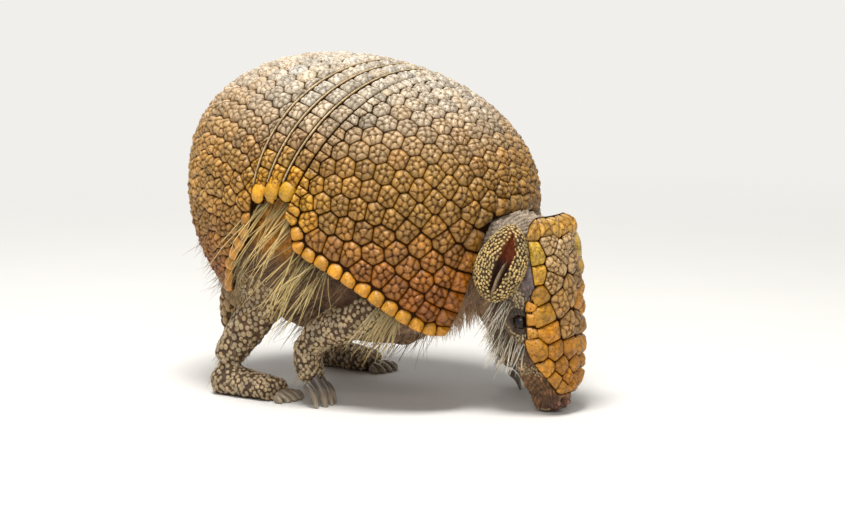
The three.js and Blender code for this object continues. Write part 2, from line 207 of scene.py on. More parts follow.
def grid_faces(rows: int, columns: int, wrap: bool = False) -> Array:
    """Quads over a grid of vertices stored row by row; wrap joins the last column to the first.

    Args:
        rows: how many rows it has.
        columns: how many vertices a row has.
        wrap: whether the last column joins the first.

    Returns:
        The four corners of each quad.
    """
    last = columns if wrap else columns - 1
    i, j = np.meshgrid(np.arange(rows - 1), np.arange(last), indexing="ij")
    after = (j + 1) % columns
    low, high = i * columns, (i + 1) * columns
    return np.stack([low + j, low + after, high + after, high + j], -1).reshape(-1, 4)


def bead_faces(rings: int, corners: int) -> tuple[Array, Array]:
    """The faces of a closed bead whose vertices are its rings, its crown and its foot.

    Args:
        rings: how many rings it has, the lowest first.
        corners: how many vertices each ring has.

    Returns:
        The quads of its wall and the triangles of its two ends.
    """
    step = np.arange(corners)
    after = (step + 1) % corners
    top, middle = (rings - 1) * corners, rings * corners
    cap = np.stack([top + step, top + after, np.full(corners, middle)], axis=1)
    foot = np.stack([after, step, np.full(corners, middle + 1)], axis=1)
    return grid_faces(rings, corners, wrap=True), np.concatenate([cap, foot])


def copy_node(node: Piece, name: str) -> Piece:
    """A copy of a CAD node with a mesh of its own and no finish, selected and active.

    Args:
        node: the CAD node.
        name: the copy's name.

    Returns:
        The copy.
    """
    copy = bpy.data.objects.new(name, node.data.copy())
    bpy.context.scene.collection.objects.link(copy)
    copy.data.materials.clear()
    copy.select_set(True)
    bpy.context.view_layer.objects.active = copy
    return copy


def weld(swell: float = 0.0) -> None:
    """Merges the selected copies' loose triangles, faces them outwards and swells them by millimetres.

    Args:
        swell: how far their surfaces move out.
    """
    bpy.ops.object.mode_set(mode="EDIT")
    bpy.ops.mesh.select_all(action="SELECT")
    bpy.ops.mesh.remove_doubles(threshold=WELD_GAP * MM)
    bpy.ops.mesh.normals_make_consistent(inside=False)
    if swell:
        bpy.ops.transform.shrink_fatten(value=swell * MM)
    bpy.ops.object.mode_set(mode="OBJECT")


# ---------------------------------------------------------------- finishes
def wire(node: bpy.types.Node, links: dict) -> None:
    """Sets a node's inputs.

    Args:
        node: the node.
        links: for each input, by name or number, a value, a colour as an array or another node's output.
    """
    for key, value in links.items():
        if isinstance(value, Socket):
            node.id_data.links.new(value, node.inputs[key])
        else:
            node.inputs[key].default_value = (*value, 1.0) if isinstance(value, Array) else value


def add_node(
    tree: Tree, kind: str, links: dict, stops: Sequence = (), **settings: object
) -> Sequence[Socket]:
    """Adds a shader node with its settings and links.

    Args:
        tree: the node tree that it joins.
        kind: the node's type, after the word ShaderNode.
        links: its inputs, as wire takes them.
        stops: the places and colours of a colour ramp.
        settings: the node's own properties.

    Returns:
        The node's output sockets, by name or number.
    """
    made = tree.nodes.new(f"ShaderNode{kind}")
    for key, value in settings.items():
        setattr(made, key, value)
    while len(stops) > 2 and len(made.color_ramp.elements) < len(stops):
        made.color_ramp.elements.new(0.5)
    for number, (place, colour) in enumerate(stops):
        made.color_ramp.elements[number].position = place
        made.color_ramp.elements[number].color = (*colour, 1.0)
    wire(made, links)
    return made.outputs


def new_material(name: str) -> tuple[bpy.types.Material, Tree, bpy.types.Node]:
    """A new material, its node tree and its shader.

    Args:
        name: the material's name.

    Returns:
        The material, the tree and the shader.
    """
    made = bpy.data.materials.new(name)
    made.use_nodes = True
    return made, made.node_tree, made.node_tree.nodes["Principled BSDF"]


def per_metre(millimetres: float) -> float:
    """The scale of a pattern whose cells are this many millimetres across, on Object coordinates."""
    return 1.0 / (millimetres * MM)


@dataclass(frozen=True)
class HornyPlate:
    """Keratin over bone, dry and naturally worn: satin on the raised parts and dull in the grooves, with
    painted shade in the grooves, furrows and pits and a painted highlight on the crowns.
    """

    name: str = "scute_keratin"
    # groove: painted shade, the dark colour laid where the relief marks a groove between scutes
    groove: str = "#20130a"
    # pit: painted shade, the dark colour laid in the small pits
    pit: str = "#4a2a10"
    # The furrows' painted shade: the colour is multiplied by this where the relief is low.
    shade_tint: tuple[float, float, float] = (0.46, 0.36, 0.22)  # what the furrows take from the colour
    patches: float = 5.0  # millimetres across a patch of wear
    specks: float = 0.8  # millimetres across a fleck, coarser than the real grain so that it shows
    grain: float = 1.05  # millimetres between pits
    ragged: float = 0.5  # millimetres by which the flecks pull the pits out of round
    roughness: float = 0.40
    dull: float = 0.85  # roughness of the grooves
    ior: float = 1.54
    pit_depth: float = 0.16

    def material(self) -> bpy.types.Material:
        """Builds the finish, coloured by the piece's tint, relief and pitting.

        Returns:
            The material.
        """
        made, tree, shader = new_material(self.name)
        place = add_node(tree, "TexCoord", {})["Object"]
        tint = add_node(tree, "Attribute", {}, attribute_name="tint")
        relief = add_node(tree, "Attribute", {}, attribute_name="relief")["Fac"]
        patch = add_node(tree, "TexNoise", {"Vector": place, "Scale": per_metre(self.patches), "Detail": 4.0})
        speck = add_node(tree, "TexNoise", {"Vector": place, "Scale": per_metre(self.specks), "Detail": 3.0})
        bend = {0: speck["Color"], "Scale": self.ragged * MM}
        bent = add_node(tree, "VectorMath", bend, operation="SCALE")[0]
        bent = add_node(tree, "VectorMath", {0: place, 1: bent}, operation="ADD")[0]
        cells = add_node(tree, "TexVoronoi", {"Vector": bent, "Scale": per_metre(self.grain)})
        chance = add_node(tree, "SeparateColor", {0: cells["Color"]})[0]
        present = add_node(tree, "Math", {0: tint["Alpha"], 1: chance}, operation="GREATER_THAN")[0]
        hole = add_node(tree, "MapRange", {0: cells["Distance"], 1: 0.12, 2: 0.40, 3: 1.0, 4: 0.0})[0]
        hole = add_node(tree, "Math", {0: hole, 1: present}, operation="MULTIPLY")[0]
        worn = add_node(tree, "MapRange", {0: patch["Fac"], 1: 0.3, 2: 0.7, 3: 0.64, 4: 1.26})[0]
        fleck = add_node(tree, "MapRange", {0: speck["Fac"], 1: 0.35, 2: 0.65, 3: 0.8, 4: 1.16})[0]
        # Painted highlight and shade: the colour is lighter on high crowns and darker low down, by the
        # relief.
        raised = add_node(tree, "MapRange", {0: relief, 1: 0.55, 2: 1.15, 3: 0.78, 4: 1.18})[0]
        shade = add_node(tree, "Math", {0: worn, 1: fleck}, operation="MULTIPLY")[0]
        shade = add_node(tree, "Math", {0: shade, 1: raised}, operation="MULTIPLY")[0]
        lit = add_node(tree, "VectorMath", {0: tint["Color"], "Scale": shade}, operation="SCALE")[0]
        # Painted shade: the furrows between nodules are darkened and warmed, fading out towards the crowns.
        shade_tinted = add_node(tree, "VectorMath", {0: lit, 1: self.shade_tint}, operation="MULTIPLY")[0]
        unshaded = add_node(tree, "MapRange", {0: relief, 1: 0.4, 2: 0.9})[0]
        lit = add_node(tree, "Mix", {0: unshaded, 6: shade_tinted, 7: lit}, data_type="RGBA")[2]
        # Painted shade: the pits, hollows bumped into the surface, are coloured dark.
        open_pit = add_node(tree, "MapRange", {0: relief, 1: 0.3, 2: 0.8, 3: 0.4, 4: 0.85})[0]
        open_pit = add_node(tree, "Math", {0: hole, 1: open_pit}, operation="MULTIPLY")[0]
        dotted = add_node(tree, "Mix", {0: open_pit, 6: lit, 7: srgb(self.pit)}, data_type="RGBA")[2]
        # Painted shade: the groove colour fills wherever the relief is low, between and round the scutes.
        share = add_node(tree, "MapRange", {0: relief, 1: 0.0, 2: 0.42})[0]
        colour = add_node(tree, "Mix", {0: share, 6: srgb(self.groove), 7: dotted}, data_type="RGBA")[2]
        rough = add_node(tree, "MapRange", {0: share, 3: self.dull, 4: self.roughness})[0]
        shine = add_node(tree, "MapRange", {0: relief, 1: 0.4, 2: 0.95, 3: 0.04, 4: 0.5})[0]
        flecked = add_node(tree, "MapRange", {0: speck["Fac"], 4: 0.7})[0]
        height = add_node(tree, "Math", {0: flecked, 1: hole}, operation="SUBTRACT")[0]
        bump = add_node(tree, "Bump", {"Height": height, "Distance": self.pit_depth * MM, "Strength": 1.0})[0]
        wire(shader, {"Base Color": colour, "Roughness": rough, "Specular IOR Level": shine})
        wire(shader, {"Normal": bump, "IOR": self.ior})
        return made


# ---------------------------------------------------------------- the armour's shapes
class Surface:
    """A smooth surface that scutes are laid on."""

    def project(self, points: Array, inset: float | Array = 0.0) -> Array:
        """Carries points near the surface onto it, or onto one inset from it."""
        raise NotImplementedError

    def normal(self, points: Array) -> Array:
        """The surface's outward direction at points near it."""
        raise NotImplementedError


@dataclass(frozen=True)
class Dome(Surface):
    """The rounded dome that the carapace lies on, longer in front than behind and pitched head end down."""

    centre: tuple[float, float, float] = (0.0, 0.0, 82.0)
    front: float = 75.0
    rear: float = 73.0
    side: float = 57.0
    top: float = 51.0
    low_front: float = 84.0
    low_rear: float = 66.0
    squareness: float = 2.15
    front_squareness: float = 2.9
    pitch: float = 10.0

    def level(self, points: Array, inset: float | Array = 0.0) -> tuple[Array, Array]:
        """How far out points lie, 1 being on the dome, and their offsets from its middle in its own axes.

        Args:
            points: the points.
            inset: how far inside the dome the surface lies that they are measured from.

        Returns:
            Their levels and their offsets.
        """
        away = turn_about_y(points - np.array(self.centre), -self.pitch)
        length = np.maximum(np.linalg.norm(away, axis=-1), 1e-9)
        forward = smooth_step(away[..., 0] / length, -0.7, 0.7)
        weight = forward * smooth_step(-away[..., 2] / length, 0.0, 0.6)
        reach_x = np.where(away[..., 0] > 0, self.front, self.rear) - inset
        reach_z = np.where(away[..., 2] > 0, self.top, lerp(self.low_rear, self.low_front, forward)) - inset
        reach = np.stack([reach_x, self.side - inset + 0 * reach_x, reach_z], axis=-1)
        power = lerp(self.squareness, self.front_squareness, weight)
        parts = np.abs(away / reach) ** power[..., None]
        return parts.sum(axis=-1) ** (1 / power), away

    def project(self, points: Array, inset: float | Array = 0.0) -> Array:
        """Carries points straight out from the dome's middle to its surface, or to one inset from it."""
        size, away = self.level(points, inset)
        return turn_about_y(away / size[..., None], self.pitch) + np.array(self.centre)

    def normal(self, points: Array) -> Array:
        """The outward direction of the dome at points near it.

        Args:
            points: the points.

        Returns:
            The directions, each of length 1.
        """
        steps = np.eye(3) * 0.5
        rise = [self.level(points + step)[0] - self.level(points - step)[0] for step in steps]
        return unit(np.stack(rise, axis=-1))


@dataclass(frozen=True)
class Arches:
    """Transverse arches that fan out from a pivot line under the belly and are carried out to the dome."""

    dome: Dome = Dome()
    drop: float = 62.0
    reach_x: float = 85.0
    reach_y: float = 57.0
    reach_z: float = 113.0
    pitch: float = 20.0
    bands_from: float = -8.0  # lean of the arch where the pelvic shield starts, in degrees, positive forwards
    bands_to: float = 7.0
    front_sweep: float = 2.0  # how far the first and last arch swing back at their ends
    rear_sweep: float = 7.0
    band_spread: float = 59.0
    band_count: int = 3

    def point(self, lean: Array, spread: Array, inset: float | Array = 0.0) -> Array:
        """A place on the carapace.

        Args:
            lean: lean of its arch in degrees, 0 upright and positive towards the head.
            spread: angle out from the midline in degrees, positive to the left.
            inset: millimetres in from the outside.

        Returns:
            The place in drawn millimetres.
        """
        a, b = np.broadcast_arrays(np.radians(lean), np.radians(spread))
        guide = np.stack(
            [
                self.reach_x * np.sin(a) * np.cos(b),
                self.reach_y * np.sin(b),
                self.reach_z * np.cos(a) * np.cos(b) - self.drop,
            ],
            axis=-1,
        )
        return self.dome.project(turn_about_y(guide, self.pitch) + np.array(self.dome.centre), inset)


ARCHES = Arches()


class Patch:
    """A four-sided stretch of armour, with u from its first edge to its second and v from right to left."""

    surface: Surface = ARCHES.dome

    def angles(self, u: Array, v: Array) -> tuple[Array, Array]:
        """The lean and the spread, in degrees, at a place on the patch."""
        raise NotImplementedError

    def at(self, u: Array, v: Array, inset: float | Array = 0.0) -> Array:
        """A place on the patch, inset from the outside."""
        return ARCHES.point(*self.angles(u, v), inset)


CORNER = 1.7  # 1 cuts a corner straight off, 2 rounds it as an ellipse


def corner_width(u: Array, start: float, cut: float) -> Array:
    """How wide a shield still is at u, its corners being rounded off from start on."""
    t = np.clip((u - start) / (1 - start), 0.0, 1.0)
    return 1 - cut * (1 - np.maximum(1 - t**CORNER, 0.0) ** (1 / CORNER))


@dataclass(frozen=True)
class ScapularPatch(Patch):
    """The shoulder shield's outline, from the bands at u = 0 to the neck at u = 1."""

    nape_lean: float = 45.5
    lobe_lean: float = 70.0
    spread: float = 64.0
    corner_from: float = 0.2
    corner_cut: float = 0.56

    def angles(self, u: Array, v: Array) -> tuple[Array, Array]:
        """The lean and the spread at a place on the shield.

        Args:
            u: 0 at its first edge and 1 at its second.
            v: -1 at its right and 1 at its left.

        Returns:
            The lean and the spread, in degrees.
        """
        front = lerp(self.nape_lean, self.lobe_lean, smooth_step(np.abs(v), 0.4, 1.04))
        rear = ARCHES.bands_to - ARCHES.front_sweep * v * v
        reach = lerp(ARCHES.band_spread, self.spread, smooth_step(u, 0.0, 0.2))
        return lerp(rear, front, u), v * corner_width(u, self.corner_from, self.corner_cut) * reach


@dataclass(frozen=True)
class PelvicPatch(Patch):
    """The hip shield's outline, from the bands at u = 0 down to its rear rim at u = 1."""

    tail_lean: float = -92.0
    rear_lean: float = -110.0
    spread: float = 77.0
    corner_from: float = 0.5
    corner_cut: float = 0.16

    def angles(self, u: Array, v: Array) -> tuple[Array, Array]:
        """The lean and the spread at a place on the shield.

        Args:
            u: 0 at its first edge and 1 at its second.
            v: -1 at its right and 1 at its left.

        Returns:
            The lean and the spread, in degrees.
        """
        rim = lerp(self.tail_lean, self.rear_lean, smooth_step(np.abs(v), 0.08, 0.3))
        front = ARCHES.bands_from - ARCHES.rear_sweep * v * v
        reach = lerp(ARCHES.band_spread, self.spread, np.asarray(u) ** 0.22)
        return lerp(front, rim, u), v * corner_width(u, self.corner_from, self.corner_cut) * reach


@dataclass(frozen=True)
class BandPatch(Patch):
    """One movable band's outline, from its front edge at u = 0 to its rear edge at u = 1."""

    index: int = 0
    slit: float = 0.05
    shorter: float = 1.3  # degrees by which each band falls short of the one behind it

    def angles(self, u: Array, v: Array) -> tuple[Array, Array]:
        """The lean and the spread at a place on the band.

        Args:
            u: 0 at its first edge and 1 at its second.
            v: -1 at its right and 1 at its left.

        Returns:
            The lean and the spread, in degrees.
        """
        back = (self.index + lerp(self.slit, 1 - self.slit, u)) / ARCHES.band_count
        lean = lerp(ARCHES.bands_to, ARCHES.bands_from, back)
        sweep = lerp(ARCHES.front_sweep, ARCHES.rear_sweep, back)
        reach = ARCHES.band_spread - self.shorter * (ARCHES.band_count - 1 - self.index)
        return lean - sweep * v * v, v * reach


@dataclass(frozen=True)
class SubPatch(Patch):
    """A part of another patch."""

    whole: Patch = None
    u_range: tuple[float, float] = (0.0, 1.0)
    v_range: tuple[float, float] = (-1.0, 1.0)
    rounded: bool = False  # drawn in to an oval

    def angles(self, u: Array, v: Array) -> tuple[Array, Array]:
        """The lean and the spread at a place on the part.

        Args:
            u: 0 at its first edge and 1 at its second.
            v: -1 at its right and 1 at its left.

        Returns:
            The lean and the spread, in degrees.
        """
        if self.rounded:
            v = v * (1 - np.abs(2 * np.asarray(u) - 1) ** 2.6) ** (1 / 2.6)
        return self.whole.angles(lerp(*self.u_range, u), lerp(*self.v_range, (v + 1) / 2))


# ---------------------------------------------------------------- scutes
class ScuteKind(Enum):
    """How a scute's top is formed."""

    ROSETTE = 0  # a knobbly middle ringed by nodules
    MARGIN = 1  # smooth and swollen, along a free edge
    LOBE = 2  # the smooth bright end of a band
    BEAD = 3  # a small tall nodule
    FRONT = 4  # nearly smooth, along the neck
    PLATE = 5  # a smooth plate of the forehead
    PITTED = 6  # a pitted plate of the forehead
    FUSED = 7  # a swelling of the forehead's rolled rim, grown together with its neighbours
    SLENDER = 8  # a narrow plate squeezed in beside the eye


@dataclass(frozen=True)
class ScuteForm:
    """The relief of one kind of scute, in millimetres."""

    edge: float = 0.95  # how far its rim lies below its shoulder
    edge_width: float = 0.55  # how quickly it rises from the rim
    crown: float = 1.1  # how far its middle swells
    furrow: float = 0.72  # depth of the furrows between its nodules
    furrow_width: float = 0.46
    nodules: int = 9
    # How dark the furrows are painted: painted shade in the furrows between nodules.
    gap: float = 0.07  # half the groove round it
    furrow_shading: float = 0.72  # how dark the furrows are
    pitting: float = 0.62  # how closely dark pits stand on it
    girth: float = 1.0  # its share of the room between it and its neighbours
    sharpness: float = 11.0  # higher leaves the corners less rounded


FORMS = {
    ScuteKind.ROSETTE: ScuteForm(),
    ScuteKind.FRONT: ScuteForm(edge=1.1, edge_width=0.8, crown=1.2, furrow=0.3, nodules=7, furrow_shading=0.5),
    ScuteKind.MARGIN: ScuteForm(
        edge_width=0.7, crown=1.3, furrow=0.06, nodules=4, gap=0.0, furrow_shading=0.1, pitting=0.14, girth=0.8,
        sharpness=4.5,
    ),
    ScuteKind.LOBE: ScuteForm(
        edge=0.9, edge_width=0.7, crown=1.9, furrow=0.0, nodules=3, gap=0.02, furrow_shading=0.0, pitting=0.05
    ),
    ScuteKind.BEAD: ScuteForm(edge=0.7, crown=0.7, furrow=0.3, nodules=4, furrow_shading=0.5),
    ScuteKind.PLATE: ScuteForm(
        edge=0.8, edge_width=0.7, crown=1.2, furrow=0.24, furrow_width=0.5, nodules=8, gap=0.06, furrow_shading=0.3,
        pitting=0.5,
    ),
    ScuteKind.PITTED: ScuteForm(
        edge=0.8, edge_width=0.6, crown=0.8, furrow=0.55, furrow_width=0.36,
        nodules=15, gap=0.06, furrow_shading=0.7,
        pitting=0.8,
    ),
    ScuteKind.SLENDER: ScuteForm(
        edge=0.7, edge_width=0.6, crown=0.8, furrow=0.05, nodules=3, furrow_shading=0.1, girth=0.36
    ),
    ScuteKind.FUSED: ScuteForm(
        edge=0.35, edge_width=0.5, crown=1.5, furrow=0.3, nodules=6, gap=0.0, furrow_shading=0.5
    ),
}


@dataclass
class Seeds:
    """Where scutes stand: the middle of each one and its kind."""

    places: Array
    kinds: Array
    fixed: Array

    @staticmethod
    def of(places: Array, kind: ScuteKind, fixed: bool) -> "Seeds":
        """Seeds of one kind."""
        count = len(places)
        return Seeds(places, np.full(count, kind.value), np.full(count, fixed))

    def __add__(self, other: "Seeds") -> "Seeds":
        """Both sets of seeds together.

        Args:
            other: the second set.

        Returns:
            The joined set.
        """
        return Seeds(
            np.concatenate([self.places, other.places]),
            np.concatenate([self.kinds, other.kinds]),
            np.concatenate([self.fixed, other.fixed]),
        )

    def keep(self, wanted: Array) -> "Seeds":
        """The seeds marked in wanted."""
        return Seeds(self.places[wanted], self.kinds[wanted], self.fixed[wanted])


def nearest(points: Array, targets: Array) -> tuple[Array, Array]:
    """For each point, the number of the nearest target and its distance.

    Args:
        points: the points.
        targets: the places that they are measured to.

    Returns:
        The numbers and the distances.
    """
    owner = np.empty(len(points), int)
    gap = np.empty(len(points))
    square = (targets**2).sum(axis=1)
    for start in range(0, len(points), 6000):
        part = points[start : start + 6000]
        distance = square - 2 * part @ targets.T
        best = distance.argmin(axis=1)
        owner[start : start + 6000] = best
        gap[start : start + 6000] = np.linalg.norm(part - targets[best], axis=1)
    return owner, gap


def along(line: Array, spacing: float, offset: float = 0.0, fit: bool = False) -> Array:
    """Points evenly spaced along a polyline.

    Args:
        line: the polyline's points.
        spacing: the distance between neighbours.
        offset: how far the points are shifted along it, in spacings.
        fit: whether the spacing is adjusted so that a whole number fills the line.

    Returns:
        The points, counted from the line's middle outwards.
    """
    lengths = np.concatenate([[0.0], np.cumsum(np.linalg.norm(np.diff(line, axis=0), axis=1))])
    half = lengths[-1] / 2
    if fit:
        spacing = half / round(half / spacing)
    steps = np.arange(math.ceil(-half / spacing), math.floor(half / spacing) + 1)
    wanted = half + (steps + offset) * spacing
    wanted = wanted[(wanted >= 0) & (wanted <= lengths[-1])]
    return np.stack([np.interp(wanted, lengths, line[:, axis]) for axis in range(3)], axis=1)


@dataclass
class Surveyed:
    """A patch measured on a fine grid, with its outline."""

    patch: Patch
    rows: int
    columns: int
    points: Array = field(init=False)
    outline: Array = field(init=False)
    outward: Array = field(init=False)

    def __post_init__(self) -> None:
        """Measures the grid and the outline."""
        u, v = np.meshgrid(np.linspace(0, 1, self.rows), np.linspace(-1, 1, self.columns), indexing="ij")
        self.points = self.patch.at(u, v)
        self.outline = self._evenly(self._edge_loop(), 0.8)
        normal = self.patch.surface.normal(self.outline)
        along_edge = unit(np.roll(self.outline, -2, axis=0) - np.roll(self.outline, 2, axis=0))
        side = np.cross(along_edge, normal)
        middle = self.points.reshape(-1, 3).mean(axis=0)
        self.outward = side * np.sign(((self.outline - middle) * side).sum())

    def _edge_loop(self) -> Array:
        """The outline's grid points in order round the patch."""
        grid = self.points
        return np.concatenate([grid[0, :-1], grid[:-1, -1], grid[-1, :0:-1], grid[:0:-1, 0]])

    @staticmethod
    def _evenly(loop: Array, spacing: float) -> Array:
        """A closed line resampled at an even spacing.

        Args:
            loop: its points, the first not repeated.
            spacing: about how far apart the new points lie.

        Returns:
            The new points.
        """
        closed = np.concatenate([loop, loop[:1]])
        lengths = np.concatenate([[0.0], np.cumsum(np.linalg.norm(np.diff(closed, axis=0), axis=1))])
        wanted = np.linspace(0, lengths[-1], max(int(lengths[-1] / spacing), 8), endpoint=False)
        return np.stack([np.interp(wanted, lengths, closed[:, axis]) for axis in range(3)], axis=1)

    def inside_margin(self, line: Array, depth: float | Array) -> Array:
        """Points moved in from the outline they lie on, by a depth."""
        owner, _ = nearest(line, self.outline)
        return self.patch.surface.project(line - self.outward[owner] * depth)

    def row(self, distance: float) -> Array:
        """The line that lies a distance along the carapace behind the patch's first edge.

        Args:
            distance: how far behind.

        Returns:
            Its points, where the patch reaches that far.
        """
        steps = np.linalg.norm(np.diff(self.points, axis=0), axis=2)
        lengths = np.concatenate([np.zeros((1, self.columns)), np.cumsum(steps, axis=0)])
        found = []
        for column in range(self.columns):
            reach = lengths[:, column]
            if reach[-1] > distance:
                found.append([np.interp(distance, reach, self.points[:, column, axis]) for axis in range(3)])
        return np.array(found).reshape(-1, 3)

    def spread_evenly(self, seeds: Seeds, rounds: int = 14) -> Seeds:
        """Moves the free seeds until each stands in the middle of its own share of the patch.

        Args:
            seeds: the seeds.
            rounds: how often they are moved.

        Returns:
            The seeds, without those that had too small a share.
        """
        samples = self.points.reshape(-1, 3)
        du = np.gradient(self.points, axis=0)
        dv = np.gradient(self.points, axis=1)
        weight = np.linalg.norm(np.cross(du, dv), axis=2).ravel()
        for turn in range(rounds):
            owner, _ = nearest(samples, seeds.places)
            mass = np.bincount(owner, weight, minlength=len(seeds.places))
            if turn == 2:
                wanted = seeds.fixed | (mass > 0.45 * np.median(mass))
                seeds = seeds.keep(wanted)
                continue
            sums = [np.bincount(owner, weight * samples[:, axis], minlength=len(mass)) for axis in range(3)]
            middle = np.stack(sums, axis=1) / np.maximum(mass, 1e-9)[:, None]
            free = ~seeds.fixed & (mass > 0)
            seeds.places[free] = self.patch.surface.project(middle[free])
        return seeds


@dataclass
class ScuteMesh:
    """Raises one closed scute over each seed, with a groove round it."""

    survey: Surveyed
    seeds: Seeds
    rng: Chance
    corners: int = 46
    edge_span: float = 1.2  # how much further off than the nearest edge another may still bound a scute
    shares: tuple[float, ...] = (1.0, 1.0, 0.965, 0.91, 0.83, 0.73, 0.62, 0.51, 0.40, 0.28, 0.15)
    sunk: float = 1.95  # how far the lowest ring lies below the outside
    neighbours_in: float = 20.0  # scutes further off than this don't bound it
    edge_in: float = 9.0
    worn_heights: tuple[float, float] = (108.0, 134.0)  # between these it is worn more and more smooth
    nodule_reach: float = 0.86  # how far out nodules stand, as a share of the scute's radius
    nodule_gap: float = 1.38
    nodule_tries: int = 90
    smoothness: Array = field(init=False)

    def __post_init__(self) -> None:
        """Finds how far each scute is worn smooth: most on top of the back."""
        self.smoothness = smooth_step(self.seeds.places[:, 2], *self.worn_heights)

    def trait(self, name: str) -> Array:
        """One value of each scute's form."""
        return np.array([getattr(FORMS[ScuteKind(kind)], name) for kind in self.seeds.kinds])

    def frames(self) -> tuple[Array, Array, Array]:
        """Each scute's outward direction and two directions across it.

        Returns:
            The three directions, one a scute.
        """
        normal = self.survey.patch.surface.normal(self.seeds.places)
        first = unit(np.cross(normal, np.array([0.0, 1.0, 0.0]) + 0.01))
        return normal, first, np.cross(normal, first)

    def reach(self, normal: Array, rays: Array) -> Array:
        """How far each scute extends, halfway to its neighbours or to the edge.

        Args:
            normal: each scute's outward direction.
            rays: the directions round each scute.

        Returns:
            The distance along every ray.
        """
        places, outline = self.seeds.places, self.survey.outline
        gaps, girths, powers = (self.trait(name) for name in ("gap", "girth", "sharpness"))
        total = np.zeros(rays.shape[:2])
        for i, place in enumerate(places):
            away = places - place
            distance = np.linalg.norm(away, axis=1)
            near = (distance > 1e-6) & (distance < self.neighbours_in)
            flat = away[near] - normal[i] * (away[near] @ normal[i])[:, None]
            room = distance[near] * girths[i] / (girths[i] + girths[near])
            facing = np.maximum(rays[i] @ unit(flat).T, 0) / room
            walls = (facing ** powers[i]).sum(axis=1)
            edge = outline - place
            far = np.linalg.norm(edge, axis=1)
            close = far < min(far.min() + self.edge_span, self.edge_in)
            if close.any():
                outward = self.survey.outward[close]
                depth = np.maximum((edge[close] * outward).sum(axis=1), 0.4)
                facing = np.maximum(rays[i] @ outward.T, 0) / depth
                walls += facing.max(axis=1) ** powers[i]
            total[i] = np.maximum(walls, 1e-12)
        return total ** (-1 / powers[:, None]) - gaps[:, None]

    def nodule_sites(self, radius: Array) -> Array:
        """Where the nodules of each scute stand: as many as fit at random, kept apart.

        Args:
            radius: each scute's mean radius.

        Returns:
            Their places across the scute, far off where there are fewer than the most.
        """
        most = max(form.nodules for form in FORMS.values())
        sites = np.full((len(radius), most, 2), 99.0)
        for i, nodules in enumerate(self.trait("nodules")):
            tries = self.rng.uniform(-self.nodule_reach, self.nodule_reach, (self.nodule_tries, 2))
            tries[0] = self.rng.uniform(-0.12, 0.12, 2)
            apart = self.nodule_gap / math.sqrt(nodules)
            chosen: list[Array] = []
            for place in tries:
                inside = math.hypot(*place) < self.nodule_reach
                if inside and all(math.hypot(*(place - other)) > apart for other in chosen):
                    chosen.append(place)
            chosen = chosen[:nodules]
            sites[i, : len(chosen)] = np.array(chosen) * radius[i]
        return sites

    def build(self, name: str, colour: Callable[[Array, Array, Chance], Array]) -> list[Piece]:
        """Makes the scutes as two pieces, one for each side of the animal.

        Args:
            name: the pieces' name, before their side.
            colour: gives each scute's linear colour from its place and kind.

        Returns:
            The right and the left piece.
        """
        normal, first, second = self.frames()
        angles = 2 * math.pi * np.arange(self.corners) / self.corners
        cosine, sine = (turn(angles)[None, :, None] for turn in (np.cos, np.sin))
        rays = cosine * first[:, None] + sine * second[:, None]
        reach = self.reach(normal, rays)
        radius = reach.mean(axis=1)
        shares = np.array(self.shares + (0.0,))
        across = reach[:, :, None] * shares
        local = np.stack([across * cosine, across * sine], axis=-1)
        base = self.seeds.places[:, None, None] + rays[:, :, None] * across[..., None]
        height, relief = self._heights(shares, radius, local)
        points = self.survey.patch.surface.project(base) + normal[:, None, None] * height[..., None]
        tint = colour(self.seeds.places, self.seeds.kinds, self.rng)
        pitting = self.trait("pitting")[:, None] * self.rng.uniform(0.6, 1.3, (len(tint), 1))
        tint = np.concatenate([tint, pitting], axis=1)
        right = self.seeds.places[:, 1] < 0
        return [
            self._piece(f"{name}_{side}", points[chosen], relief[chosen], tint[chosen], normal[chosen])
            for side, chosen in (("right", right), ("left", ~right))
            if chosen.any()
        ]

    def _heights(self, shares: Array, radius: Array, local: Array) -> tuple[Array, Array]:
        """Forms the tops of the scutes.

        Args:
            shares: how far out each ring lies, from 1 at the rim to 0.
            radius: each scute's mean radius.
            local: each vertex's place across its scute.

        Returns:
            The height of every vertex over the carapace's outside, and its relief from 0 to 1, which the
            finish turns into painted shade low down and a painted highlight on top.
        """
        names = ("edge", "crown", "furrow", "furrow_shading")
        edge, crown, furrow, furrow_shading = (self.trait(name)[:, None, None] for name in names)
        edge_width, furrow_width = (self.trait(f"{name}_width")[:, None, None] for name in ("edge", "furrow"))
        inward = (1 - shares)[None, None, :] * radius[:, None, None]
        rise = 1 - np.exp(-((inward / edge_width) ** 1.4))
        sites = self.nodule_sites(radius)
        distance = np.linalg.norm(local[:, :, :, None, :] - sites[:, None, None], axis=-1)
        order = np.argsort(distance, axis=-1)[..., :3]
        close = np.take_along_axis(distance, order, axis=-1)
        chosen = sites[np.arange(len(sites))[:, None, None, None], order]
        apart = np.maximum(np.linalg.norm(chosen[..., 0, :] - chosen[..., 1, :], axis=-1), 0.3)
        border = (close[..., 1] ** 2 - close[..., 0] ** 2) / (2 * apart)
        swell = 1 - np.exp(-((border / furrow_width) ** 1.3))
        corner = np.exp(-(((close[..., 2] - close[..., 0]) / 0.42) ** 1.4))  # 1 where three nodules meet
        own = np.arange(len(sites))[:, None, None]
        lift = self.rng.uniform(-0.2, 0.2, sites.shape[:2])[own, order[..., 0]]
        worn = self.smoothness[:, None, None]
        furrow = furrow * (1 - 0.6 * worn)
        uneven = lift * np.minimum(furrow / 0.4, 1.0) * rise
        height = crown * (0.3 - shares**2) - edge * (1 - rise) + uneven
        height = height - furrow * ((1 - swell) + 0.9 * corner) * rise
        height[:, :, 0] = -self.sunk
